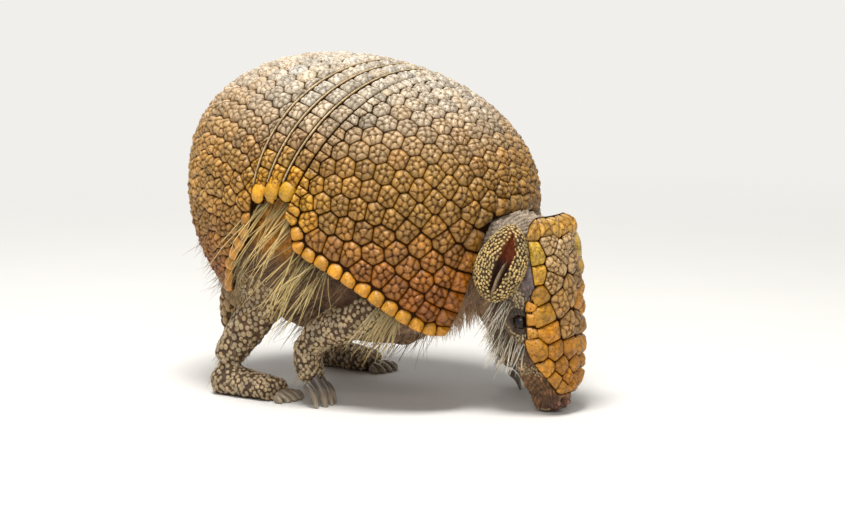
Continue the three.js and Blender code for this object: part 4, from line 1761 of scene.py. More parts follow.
@dataclass
class Skin:
    """One skin over all the flesh, drawn tight over the CAD's own shapes and then folded."""

    voxel: float = 1.11
    swell: float = 0.45  # closes the clearance between neighbouring pieces
    eye_at: tuple[float, float, float] = (EYE_X, 14.2, 36.9)
    lid_opening: float = 1.5
    # Each fold of the lids: how far out it lies, its height and its width.
    lid_rings: tuple[tuple[float, float, float], ...] = (
        (2.5, 1.0, 0.5),
        (3.6, 0.75, 0.4),
        (4.7, 0.65, 0.4),
        (6.0, 0.45, 0.4),
    )
    lid_grooves: tuple[float, ...] = (3.05, 4.15, 5.35)
    nostril: tuple[float, float, float] = (97.0, 2.7, 5.2)
    head_from: float = 74.0
    # The colours of the temples, the nape, the lids and the nose.
    markings: tuple[str, ...] = ("#a08d8c", "#b8a48c", "#8f7e6c", "#a0735c")
    piece: Piece = None

    def build(self) -> list[Piece]:
        """Makes the skin.

        Returns:
            The one piece that it is.
        """
        self._join_flesh()
        self._remesh()
        points, normals = self.surface()
        push, relief = self._folds(points)
        folded = points + normals * push[:, None]
        folded[:, 2] = np.maximum(folded[:, 2], 0.05)
        self.piece.data.vertices.foreach_set("co", to_frame(folded).astype(np.float32).ravel())
        self.piece.data.update()
        paint(self.piece, self._colours(points), relief)
        self.piece.data.shade_smooth()
        self.piece.data.materials.append(HideFinish().material())
        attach(self.piece, BODY)
        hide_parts(*FLESH)
        return [self.piece]

    def surface(self) -> tuple[Array, Array]:
        """The skin's vertices in drawn millimetres and their outward directions.

        Returns:
            The vertices and the directions.
        """
        mesh = self.piece.data
        count = len(mesh.vertices)
        points, normals = np.empty(count * 3), np.empty(count * 3)
        mesh.vertices.foreach_get("co", points)
        mesh.vertices.foreach_get("normal", normals)
        return from_frame(points.reshape(-1, 3)), normals.reshape(-1, 3)

    def _join_flesh(self) -> None:
        """Copies the flesh nodes into one mesh, each swollen a little so that they overlap."""
        bpy.ops.object.select_all(action="DESELECT")
        copies = [copy_node(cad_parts[name], f"{name}_flesh") for name in FLESH]
        bpy.context.view_layer.objects.active = copies[0]
        weld(self.swell)
        bpy.ops.object.join()
        self.piece = bpy.context.object
        self.piece.name = self.piece.data.name = "skin"

    def _remesh(self) -> None:
        """Makes one closed surface, finer over the head."""
        shrink = self.piece.modifiers.new("one_surface", "REMESH")
        shrink.mode = "VOXEL"
        shrink.voxel_size = self.voxel * MM
        bpy.ops.object.modifier_apply(modifier=shrink.name)
        relax = self.piece.modifiers.new("relax", "SMOOTH")
        relax.factor = 0.5
        relax.iterations = 6
        bpy.ops.object.modifier_apply(modifier=relax.name)
        points, _ = self.surface()
        self._refine(points[:, 0] > self.head_from)
        points, _ = self.surface()
        eye_gap = np.hypot(points[:, 0] - self.eye_at[0], points[:, 2] - self.eye_at[2])
        self._refine((eye_gap < 6.4) & (np.abs(points[:, 1]) > 7.0))

    def _refine(self, wanted: Array) -> None:
        """Divides the faces whose vertices are all wanted, for finer folds.

        Args:
            wanted: whether each vertex is.
        """
        mesh = self.piece.data
        mesh.vertices.foreach_set("select", wanted)
        edges = np.empty(len(mesh.edges) * 2, np.int32)
        mesh.edges.foreach_get("vertices", edges)
        mesh.edges.foreach_set("select", wanted[edges.reshape(-1, 2)].all(axis=1))
        faces = np.empty(len(mesh.loops), np.int32)
        mesh.loops.foreach_get("vertex_index", faces)
        sizes = np.empty(len(mesh.polygons), np.int32)
        mesh.polygons.foreach_get("loop_total", sizes)
        starts = np.concatenate([[0], np.cumsum(sizes)[:-1]])
        mesh.polygons.foreach_set("select", np.logical_and.reduceat(wanted[faces], starts))
        bpy.ops.object.mode_set(mode="EDIT")
        bpy.ops.mesh.select_mode(type="FACE")
        bpy.ops.mesh.subdivide(number_cuts=1, smoothness=0.6)
        bpy.ops.mesh.vertices_smooth(factor=0.5, repeat=2)
        bpy.ops.object.mode_set(mode="OBJECT")

    def _folds(self, points: Array) -> tuple[Array, Array]:
        """How far each vertex moves outwards, and its relief, which the finish turns into painted shade, from
        the folds, lids and nostrils.

        Args:
            points: the skin's vertices.

        Returns:
            The distances and the reliefs.
        """
        push = np.full(len(points), -self.swell)
        relief = np.ones(len(points))
        rough = np.array([noise.noise(Vector(p * 0.22)) for p in points])
        slow = np.array([noise.noise(Vector(p * 0.09 + 5.0)) for p in points])
        fine = np.array([noise.noise(Vector(p * 0.7 + 31.0)) for p in points])
        push += 0.30 * rough + 0.14 * fine
        x, y, z = points.T
        weights = HIDE.weights(points)
        part = {name.name: weights[:, i] for i, name in enumerate(BODY_PLAN)}

        def crease(phase: Array, depth: Array, where: Array, power: float = 0.8) -> None:
            """Presses rounded folds into the skin along lines of equal phase, wider with a higher power, and
            paints shade into them through the relief.

            Args:
                phase: what is equal along a fold.
                depth: how deep the folds are.
                where: how much of them shows, from 0 to 1.
                power: how wide they are.
            """
            nonlocal push, relief
            ridge = np.abs(np.sin(phase)) ** power
            push = push - depth * (1 - ridge) * where
            # Painted shade along each fold.
            relief = relief * (1 - 0.75 * (1 - ridge) * where)

        crease((x * 0.9 + z * 0.25 + 5 * slow + 0.6 * rough) * 1.2, 1.1, part["neck"], 1.3)
        side_face = part["brow"] * smooth_step(-z, -62, -48) + part["snout"]
        flank = side_face * smooth_step(np.abs(y), 2.0, 7.0)
        crease((x * 1.0 + z * 0.22 + 6.0 * slow + 0.7 * rough) * 1.45, 1.0, flank, 1.6)
        crease((z - x * 0.7 + 7.0 * slow + 1.0 * rough) * 0.9, 0.4, side_face, 1.4)
        bridge = part["snout"] * smooth_step(-np.abs(y), -6.0, -2.0)
        crease((y * 1.0 + 4.0 * slow + 0.7 * rough + x * 0.15) * 1.5, 0.8, bridge, 1.6)
        crease((z - x * 0.45 + 7.0 * slow + 0.8 * rough) * 1.25, 1.0, self._nape(points), 1.5)
        crease((z * 0.6 - x * 0.5 + 4 * rough) * 0.75, 0.6, HIDE.flank_fold(points))
        crease((x * 0.45 + 5 * rough + z * 0.3) * 0.5, 0.6, part["trunk"] * smooth_step(-z, -60, -50))
        crease((z + 1.5 * rough) * 1.1, 0.35, part["tail"] + part["tail_tip"])
        push, relief = self._lids(points, push, relief, rough)
        mouth = np.abs(z - (3.0 + 0.62 * (94.0 - x)) - 0.4 * rough)
        lips = np.exp(-((mouth / 0.55) ** 2)) * smooth_step(x, 78, 81) * smooth_step(-z, -16, -12)
        # Painted shade along the mouth.
        push, relief = push - 0.7 * lips, relief * (1 - 0.6 * lips)
        return self._nostrils(points, push, relief)

    @staticmethod
    def _nape(points: Array) -> Array:
        """How far points lie on the loose pale skin between the collar and the head, from 0 to 1."""
        x, _, z = points.T
        return smooth_step(z, 55, 63) * smooth_step(x, 64, 70)

    def _lids(self, points: Array, push: Array, relief: Array, rough: Array) -> tuple[Array, Array]:
        """Rings of wrinkled lid round each eye, and the opening that the ball looks out of, with painted
        shade in the grooves between the rings and in the opening.

        Args:
            points: the skin's vertices.
            push: how far each moves outwards so far.
            relief: its relief so far.
            rough: a noise that keeps the rings uneven.

        Returns:
            The new distances and reliefs.
        """
        x, y, z = points.T
        away, over = x - self.eye_at[0], z - self.eye_at[2]
        near = smooth_step(np.abs(y), 9.0, 11.5)
        across = np.hypot(away * 0.74, over)
        opening = (1 - smooth_step(across, self.lid_opening - 0.5, self.lid_opening + 0.2)) * near
        push = push - 3.0 * opening
        across = np.hypot(away, over * 0.88) + 0.45 * rough
        for radius, height, width in self.lid_rings:
            push = push + height * np.exp(-(((across - radius) / width) ** 2)) * near
        for radius in self.lid_grooves:
            # Painted shade in the grooves between the lid rings.
            relief = relief * (1 - 0.85 * np.exp(-(((across - radius) / 0.42) ** 2)) * near)
        return push, relief * (1 - 0.75 * opening)

    def _nostrils(self, points: Array, push: Array, relief: Array) -> tuple[Array, Array]:
        """Two nostrils at the front of the nose, over the line of the mouth, with painted shade in them.

        Args:
            points: the skin's vertices.
            push: how far each moves outwards so far.
            relief: its relief so far.

        Returns:
            The new distances and reliefs.
        """
        for side in (-1, 1):
            away = np.linalg.norm(points - np.array(self.nostril) * (1, side, 1), axis=1)
            pit = 1 - smooth_step(away, 0.9, 1.9)
            push = push - 1.6 * pit
            # Painted shade in the nostril.
            relief = relief * (1 - 0.8 * pit)
        return push, relief

    def _colours(self, points: Array) -> Array:
        """The skin's markings, darker round the eyes and pinker at the nose.

        Args:
            points: the skin's vertices.

        Returns:
            Their linear colours.
        """
        x, y, z = points.T
        temple = np.exp(-(((x - 89.0) / 4.5) ** 2) - ((z - 55.0) / 9.0) ** 2) * (np.abs(y) > 8)
        eye_gap = np.hypot(x - self.eye_at[0], z - self.eye_at[2])
        lid = np.exp(-((eye_gap / 5.6) ** 4)) * (np.abs(y) > 9)
        nose = smooth_step(-z, -9.0, -3.0) * smooth_step(x, 84, 92)
        colour = HIDE.skin_colour(points)
        for code, share in zip(self.markings, (temple, self._nape(points), lid, nose)):
            colour = blend_colours(colour, srgb(code), share)
        return colour


def keep_apart(points: Array, gaps: Array, rng: Chance) -> Array:
    """Picks points at random so that none stands closer to another than its own gap.

    Args:
        points: places to pick from.
        gaps: the least distance round each, 0 for a place that isn't wanted.
        rng: the source of chance.

    Returns:
        The numbers of the chosen points.
    """
    cell = float(gaps.max())
    taken: dict[tuple[int, int, int], list[tuple[float, float, float]]] = {}
    chosen = []
    keys = np.floor(points / cell).astype(int).tolist()
    rows = points.tolist()
    for i in rng.permutation(np.nonzero(gaps > 0)[0]).tolist():
        kx, ky, kz = keys[i]
        px, py, pz = rows[i]
        limit = gaps[i] ** 2
        crowded = any(
            (px - qx) ** 2 + (py - qy) ** 2 + (pz - qz) ** 2 < limit
            for dx in (-1, 0, 1)
            for dy in (-1, 0, 1)
            for dz in (-1, 0, 1)
            for qx, qy, qz in taken.get((kx + dx, ky + dy, kz + dz), ())
        )
        if not crowded:
            taken.setdefault((kx, ky, kz), []).append((px, py, pz))
            chosen.append(i)
    return np.array(chosen, int)


def raise_scales(
    name: str,
    places: Array,
    normals: Array,
    sizes: Array,
    lean: Array,
    colours: Array,
    high: float = 0.55,
    long: float = 1.22,
) -> Piece:
    """Small domed scales, each a closed bead pressed into the skin.

    Args:
        name: the piece's name.
        places: their middles on the skin.
        normals: outward directions there.
        sizes: half widths.
        lean: the direction each one is drawn out along.
        colours: linear colours.
        high: height as a share of the half width.
        long: length as a share of the width.

    Returns:
        One piece with all of them.
    """
    sides = 7
    turns = 2 * math.pi * np.arange(sides) / sides
    along_skin = unit(lean - normals * (lean * normals).sum(axis=1)[:, None])
    across = np.cross(normals, along_skin)
    ring = along_skin[:, None] * np.cos(turns)[:, None] * long
    ring = ring + across[:, None] * np.sin(turns)[:, None] * 0.92
    rings = []
    for share, rise in ((0.92, -0.45), (1.0, 0.12), (0.74, 0.62)):
        rings.append(places[:, None] + sizes[:, None, None] * (ring * share + normals[:, None] * rise * high))
    top = places + normals * (sizes * high * 0.9)[:, None]
    base = places - normals * (sizes * high * 0.5)[:, None]
    points = np.concatenate([*rings, top[:, None], base[:, None]], axis=1)
    piece = make_like(name, points, *bead_faces(len(rings), sides))
    round_scale = np.stack([np.cos(turns), np.sin(turns)], axis=1)
    spot = np.concatenate([round_scale * 0.5, round_scale * 0.46, round_scale * 0.3, np.zeros((2, 2))]) + 0.5
    map_to_roots(piece, places, spot)
    # Relief from the foot to the crown: the finish paints shade at each scale's foot and a highlight on its
    # crown.
    depth = np.tile(np.repeat([0.1, 0.45, 0.95, 1.0, 0.0], [sides, sides, sides, 1, 1]), len(places))
    paint(piece, np.repeat(colours, points.shape[1], axis=0), depth)
    return piece


@dataclass
class LegScales:
    """The straw-coloured scales on the limbs, tail and face."""

    finish: HornyPlate
    spacing: float = 1.62  # in half widths
    fullness: float = 1.14  # how much wider they are made once they are set out

    def build(self, skin: Skin, rng: Chance) -> list[Piece]:
        """Makes the scales over the skin's own surface.

        Args:
            skin: the finished skin.
            rng: the source of chance.

        Returns:
            The one piece they make.
        """
        points, normals = skin.surface()
        sizes = HIDE.scale_size(points) * rng.uniform(0.72, 1.25, len(points))
        x, y, z = points.T
        eye = np.hypot(x - skin.eye_at[0], z - skin.eye_at[2])
        lidded = (eye < 5.6) & (np.abs(y) > 9)
        shielded = (x > ForeheadPatch.surface.front_at(z) - 5.5) & (z > 9)
        under = (z < 66) | (x > 78)
        patchy = np.array([noise.noise(Vector(p * 0.17 + 9.0)) for p in points])
        bare = (x > 70) & (z > 2) & ((patchy < 0.02) | (z > 50) | (z < 15)) & (eye > 6.5)
        keep = under & ~lidded & ~shielded & ~bare & (z > 1.2) & ~((x > 91) & (z < 12))
        chosen = keep_apart(points, np.where(keep, sizes * self.spacing, 0.0), rng)
        places, sizes = points[chosen], sizes[chosen] * self.fullness
        lean = np.tile(np.array([0.25, 0.0, -1.0]), (len(chosen), 1)) + rng.normal(0, 0.15, (len(chosen), 3))
        colour = vary(HIDE.scale_colour(places), rng)
        piece = raise_scales("leg_scales", places, normals[chosen], sizes, lean, colour, long=1.04)
        piece.data.materials.append(self.finish.material())
        return [piece]


# ---------------------------------------------------------------- ears, eyes and claws
@dataclass
class Ear:
    """An upright leaf of an ear, its edges rolled round a folded opening, beaded with small scales."""

    finish: HornyPlate
    at: tuple[float, float, float] = (80.8, 22.4, 60.0)
    half_width: float = 9.2
    half_depth: float = 4.9
    half_height: float = 15.4
    lean: float = 15.0
    turn: float = -14.0
    left_drop: float = 2.6  # the left ear is let down a little and folded shorter
    left_share: float = 0.87
    left_back: float = 1.8
    bead: float = 0.62
    bead_gap: float = 1.72  # the least distance between beads, in their own sizes
    bead_colour: str = "#c2a66a"
    bed: str = "#4a3522"
    glow: str = "#96501f"
    # hollow: painted shade deep in the ear's opening
    hollow: str = "#4a2a1a"
    blood: str = "#a84c1c"
    fold: str = "#a58d6c"
    rings: int = 90
    turns: int = 180
    # The opening from top to bottom: height, half width and middle, as shares of the ear's own.
    opening: tuple[tuple[float, float, float], ...] = (
        (0.84, 0.00, 0.16),
        (0.66, 0.17, 0.20),
        (0.40, 0.31, 0.24),
        (0.10, 0.31, 0.20),
        (-0.30, 0.25, 0.13),
        (-0.62, 0.18, 0.09),
        (-0.80, 0.06, 0.08),
    )

    def build(self, rng: Chance) -> list[Piece]:
        """Makes both ears and their beads.

        Args:
            rng: the source of chance.

        Returns:
            The two ears and their beads.
        """
        hide = HideFinish(name="ear_skin", crease=0.9).material()
        horn = self.finish.material()
        made = []
        for name, side in SIDES:
            leaf, spots, lean, beaded = self._leaf(name, side)
            normals = np.empty(len(spots) * 3)
            leaf.data.vertices.foreach_get("normal", normals)
            normals = normals.reshape(-1, 3)
            leaf.data.materials.append(hide)
            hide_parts(f"ear_{name}")
            chosen = keep_apart(spots, np.where(beaded, self.bead * self.bead_gap, 0.0), rng)
            sizes = self.bead * rng.uniform(0.85, 1.1, len(chosen))
            colour = vary(np.tile(srgb(self.bead_colour), (len(chosen), 1)), rng)
            beads = spots[chosen], normals[chosen], sizes, lean[chosen], colour
            scales = raise_scales(f"ear_beads_{name}", *beads, high=0.85)
            scales.data.materials.append(horn)
            made += [leaf, scales]
        return made

    def _opening(self, across: Array, up: Array) -> tuple[Array, Array, Array]:
        """Measures places against the opening.

        Args:
            across: how far forward they lie, as a share of the ear's half width.
            up: how high they lie, as a share of its half height.

        Returns:
            From 0 to 1, how deep the opening is, whether they are in it and whether they are on its ridge.
        """
        heights, halves, middles = (np.array(column)[::-1] for column in zip(*self.opening))
        half = np.interp(up, heights, halves)
        middle = np.interp(up, heights, middles)
        within = (half - np.abs(across - middle)) / 0.07
        inside = smooth_step(within, -0.6, 1.0) * (half > 0)
        ridge_width = 0.05 + 0.06 * smooth_step(-up, -0.1, 0.5)
        ridge = np.exp(-(((across - middle - 0.02) / ridge_width) ** 4))
        ridge = ridge * smooth_step(-up, -0.22, 0.05) * inside
        return inside * (1 - 0.9 * ridge), inside, ridge

    def _leaf(self, name: str, side: int) -> tuple[Piece, Array, Array, Array]:
        """Makes one ear's skin.

        Args:
            name: its side.
            side: -1 for the right and 1 for the left.

        Returns:
            The piece, its vertices, the way that beads lie along its rim and which vertices may bear one.
        """
        rise = np.linspace(-math.pi / 2, math.pi / 2, self.rings)[1:-1]
        turn = 2 * math.pi * np.arange(self.turns) / self.turns
        lat, lon = np.meshgrid(rise, turn, indexing="ij")
        level = np.cos(lat)
        points = np.stack([level * np.cos(lon), level * np.sin(lon), np.sin(lat)], axis=-1).reshape(-1, 3)
        points = np.concatenate([points, [[0, 0, -1], [0, 0, 1]]])
        across, out, up = points.T
        width = self.half_width * (1.0 - 0.16 * up + 0.05 * np.cos(3 * up))
        front = out > 0
        depth, inside, ridge = self._opening(across, up)
        rim = np.exp(-(((np.hypot(across, up) - 0.88) / 0.14) ** 2))
        hollow = np.where(front, depth * 4.4 * np.maximum(out, 0) ** 0.6, 0)
        y = out * self.half_depth * (1 + 0.16 * rim) - hollow
        x = across * width + 0.8 * np.sin(up * 2.2)
        height = self.half_height * (self.left_share if side > 0 else 1.0)
        placed = self._place(np.stack([x, side * y, up * height], axis=1), side)
        flow = np.stack([-up * width, 0 * up, across * height], axis=1)
        lean = self._place(flow, side) - self._place(0 * flow, side)
        rows = grid_faces(self.rings - 2, self.turns, wrap=True)
        step = np.arange(self.turns)
        after = (step + 1) % self.turns
        last = (self.rings - 3) * self.turns
        foot = np.stack([step * 0 + len(points) - 2, after, step], axis=1)
        tip = np.stack([last + step, last + after, step * 0 + len(points) - 1], axis=1)
        faces = [rows, foot, tip]
        if side < 0:
            faces = [face[:, ::-1] for face in faces]
        piece = make_piece(f"ear_leaf_{name}", placed, *faces)
        cavity = np.where(front, inside * (1 - 0.8 * ridge), 0.0)
        # Painted shade: the opening is darkest low down, where it is deepest, and redder above.
        within = blend_colours(srgb(self.hollow), srgb(self.blood), smooth_step(up, -0.1, 0.3))
        glow = np.exp(-(((across - 0.12) / 0.30) ** 2) - ((up - 0.62) / 0.3) ** 2)
        bed = blend_colours(srgb(self.bed), srgb(self.glow), np.where(front, glow, 0.0))
        bed = blend_colours(bed, srgb(self.fold), np.where(front, ridge, 0.0))
        # Painted shade: the relief is lowest in the opening's depth, which the finish darkens.
        relief = 1 - cavity * np.clip(depth, 0, 1) * 0.6
        paint(piece, blend_colours(bed, within, cavity), relief)
        beaded = (cavity < 0.2) & ~(front & (ridge > 0.4) & (up > -0.35))
        return piece, placed, lean, beaded

    def _place(self, local: Array, side: int) -> Array:
        """Leans and turns the ear and sets it on the head.

        Args:
            local: points in the ear's own axes.
            side: -1 for the right ear and 1 for the left.

        Returns:
            The points on the head.
        """
        leant = turn_about_y(local, self.lean)
        angle = math.radians(self.turn) * side
        x = leant[:, 0] * math.cos(angle) - leant[:, 1] * math.sin(angle)
        y = leant[:, 0] * math.sin(angle) + leant[:, 1] * math.cos(angle)
        back, drop = (self.left_back, self.left_drop) if side > 0 else (0.0, 0.0)
        at = np.array([self.at[0] - back, side * self.at[1], self.at[2] - drop])
        return np.stack([x, y, leant[:, 2]], axis=1) + at


@dataclass(frozen=True)
class WetEye:
    """A dark brown eye under a clear wet cornea."""

    iris: str = "#2a1a10"
    pupil: str = "#050403"
    roughness: float = 0.04
    ior: float = 1.376
    radius: float = 3.3
    pupil_reach: float = 0.8  # millimetres from the middle
    iris_reach: float = 2.6

    def build(self) -> list[Piece]:
        """Makes both eyes, a bulging cornea on each ball.

        Returns:
            The two balls.
        """
        made = []
        for name, side in SIDES:
            low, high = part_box(f"eye_{name}")
            middle = (Vector(low) + Vector(high)) / 2
            ahead = Vector((0.12, side, 0.05)).normalized()
            bpy.ops.object.select_all(action="DESELECT")
            reach = self.radius * MM
            bpy.ops.mesh.primitive_uv_sphere_add(segments=48, ring_count=24, radius=reach, location=middle)
            bpy.ops.object.transform_apply(location=True, rotation=True, scale=True)
            ball = bpy.context.object
            ball.name = ball.data.name = f"eyeball_{name}"
            for corner in ball.data.vertices:
                away = corner.co - middle
                facing = away.normalized().dot(ahead)
                bulge = max(0.0, (facing - 0.82) / 0.18) ** 1.5
                corner.co = middle + away * (1 + 0.05 * bulge)
            ball.data.shade_smooth()
            ball.data.materials.append(self.material(name, middle + ahead * reach))
            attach(ball, BODY)
            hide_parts(f"eye_{name}")
            made.append(ball)
        return made

    def material(self, name: str, front: Vector) -> bpy.types.Material:
        """Builds the eye's look, ringed about the point it looks out from.

        Args:
            name: the side's name.
            front: that point, in metres.

        Returns:
            The material.
        """
        made, tree, shader = new_material(f"wet_eye_{name}")
        place = add_node(tree, "TexCoord", {})["Object"]
        gap = add_node(tree, "VectorMath", {0: place, 1: front}, operation="DISTANCE")["Value"]
        ring = add_node(tree, "MapRange", {0: gap, 1: self.pupil_reach * MM, 2: self.iris_reach * MM})[0]
        pupil, iris = srgb(self.pupil), srgb(self.iris)
        stops = ((0.0, pupil), (0.22, pupil), (0.34, iris), (1.0, iris * 0.6))
        wire(shader, {"Base Color": add_node(tree, "ValToRGB", {0: ring}, stops)["Color"]})
        wire(shader, {"Roughness": self.roughness, "IOR": self.ior})
        return made


@dataclass(frozen=True)
class ClawHorn:
    """Thick grey-brown claw horn, scratched lengthwise and paler at the worn tips."""

    name: str = "claw_horn"
    dark: str = "#4c4238"
    brown: str = "#7b6b57"
    pale: str = "#a3937a"
    scratch: float = 1.6  # millimetres between scratches
    scratch_depth: float = 0.12
    worn_from: float = 9.0  # millimetres over the floor
    worn_to: float = 1.0
    roughness: float = 0.42
    ior: float = 1.54

    def material(self) -> bpy.types.Material:
        """Builds the finish, paler towards the floor where the tips are.

        Returns:
            The material.
        """
        made, tree, shader = new_material(self.name)
        place = add_node(tree, "TexCoord", {})["Object"]
        height = add_node(tree, "SeparateXYZ", {0: place})["Z"]
        tip = add_node(tree, "MapRange", {0: height, 1: self.worn_from * MM, 2: self.worn_to * MM})[0]
        stretched = add_node(tree, "Mapping", {"Vector": place, "Scale": (0.6, 3.0, 0.6)})[0]
        scratches = {"Vector": stretched, "Scale": per_metre(self.scratch), "Detail": 4.0}
        streak = add_node(tree, "TexNoise", scratches)["Fac"]
        mixed = add_node(tree, "Math", {0: tip, 1: streak}, operation="MULTIPLY")[0]
        stops = ((0.05, srgb(self.dark)), (0.32, srgb(self.brown)), (0.62, srgb(self.pale)))
        bump = {"Height": streak, "Distance": self.scratch_depth * MM, "Strength": 0.7}
        wire(shader, {"Base Color": add_node(tree, "ValToRGB", {0: mixed}, stops)["Color"]})
        wire(shader, {"Normal": add_node(tree, "Bump", bump)[0]})
        wire(shader, {"Roughness": self.roughness, "IOR": self.ior})
        return made


@dataclass
class Claws:
    """The claws of all four feet, rounded from the CAD's own and laid in their places."""

    finish: ClawHorn = ClawHorn()

    def build(self) -> list[Piece]:
        """Makes each claw.

        Returns:
            The claws.
        """
        horn = self.finish.material()
        made = []
        for name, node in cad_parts.items():
            if "_claw_" not in name:
                continue
            bpy.ops.object.select_all(action="DESELECT")
            claw = copy_node(node, f"{name}_horn")
            claw.data.materials.append(horn)
            weld()
            rounded = claw.modifiers.new("rounded", "SUBSURF")
            rounded.levels = rounded.render_levels = 2
            bpy.ops.object.modifier_apply(modifier=rounded.name)
            claw.data.shade_smooth()
            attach(claw, BODY)
            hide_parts(name)
            made.append(claw)
        return made


# ---------------------------------------------------------------- the coat
@dataclass(frozen=True)
class HairFinish:
    """Coarse straw-coloured hair, a little shiny along its length."""

    name: str = "coarse_hair"
    streak: float = 3.0  # millimetres along a lighter or darker stretch
    roughness: float = 0.5
    ior: float = 1.55

    def material(self) -> bpy.types.Material:
        """Builds the finish, coloured by the piece's tint, with darker roots by its relief.

        Returns:
            The material.
        """
        made, tree, shader = new_material(self.name)
        place = add_node(tree, "TexCoord", {})["Object"]
        tint = add_node(tree, "Attribute", {}, attribute_name="tint")["Color"]
        relief = add_node(tree, "Attribute", {}, attribute_name="relief")["Fac"]
        stretch = {"Vector": place, "Scale": per_metre(self.streak), "Detail": 3.0}
        uneven = add_node(tree, "TexNoise", stretch)["Fac"]
        uneven = add_node(tree, "MapRange", {0: uneven, 1: 0.3, 2: 0.7, 3: 0.8, 4: 1.2})[0]
        root = add_node(tree, "MapRange", {0: relief, 3: 0.6, 4: 1.12})[0]
        shade = add_node(tree, "Math", {0: uneven, 1: root}, operation="MULTIPLY")[0]
        colour = add_node(tree, "VectorMath", {0: tint, "Scale": shade}, operation="SCALE")[0]
        wire(shader, {"Base Color": colour, "Roughness": self.roughness, "IOR": self.ior})
        return made


@dataclass(frozen=True)
class Tress:
    """Hairs of one kind, with their size in millimetres and how they lie."""

    name: str
    count: int
    length: float
    width: float
    lie: tuple[float, float, float]  # the direction that they are combed, y being outwards
    stand: float  # how far they stand out along the skin's own direction
    droop: float
    spread: float
    colour: str


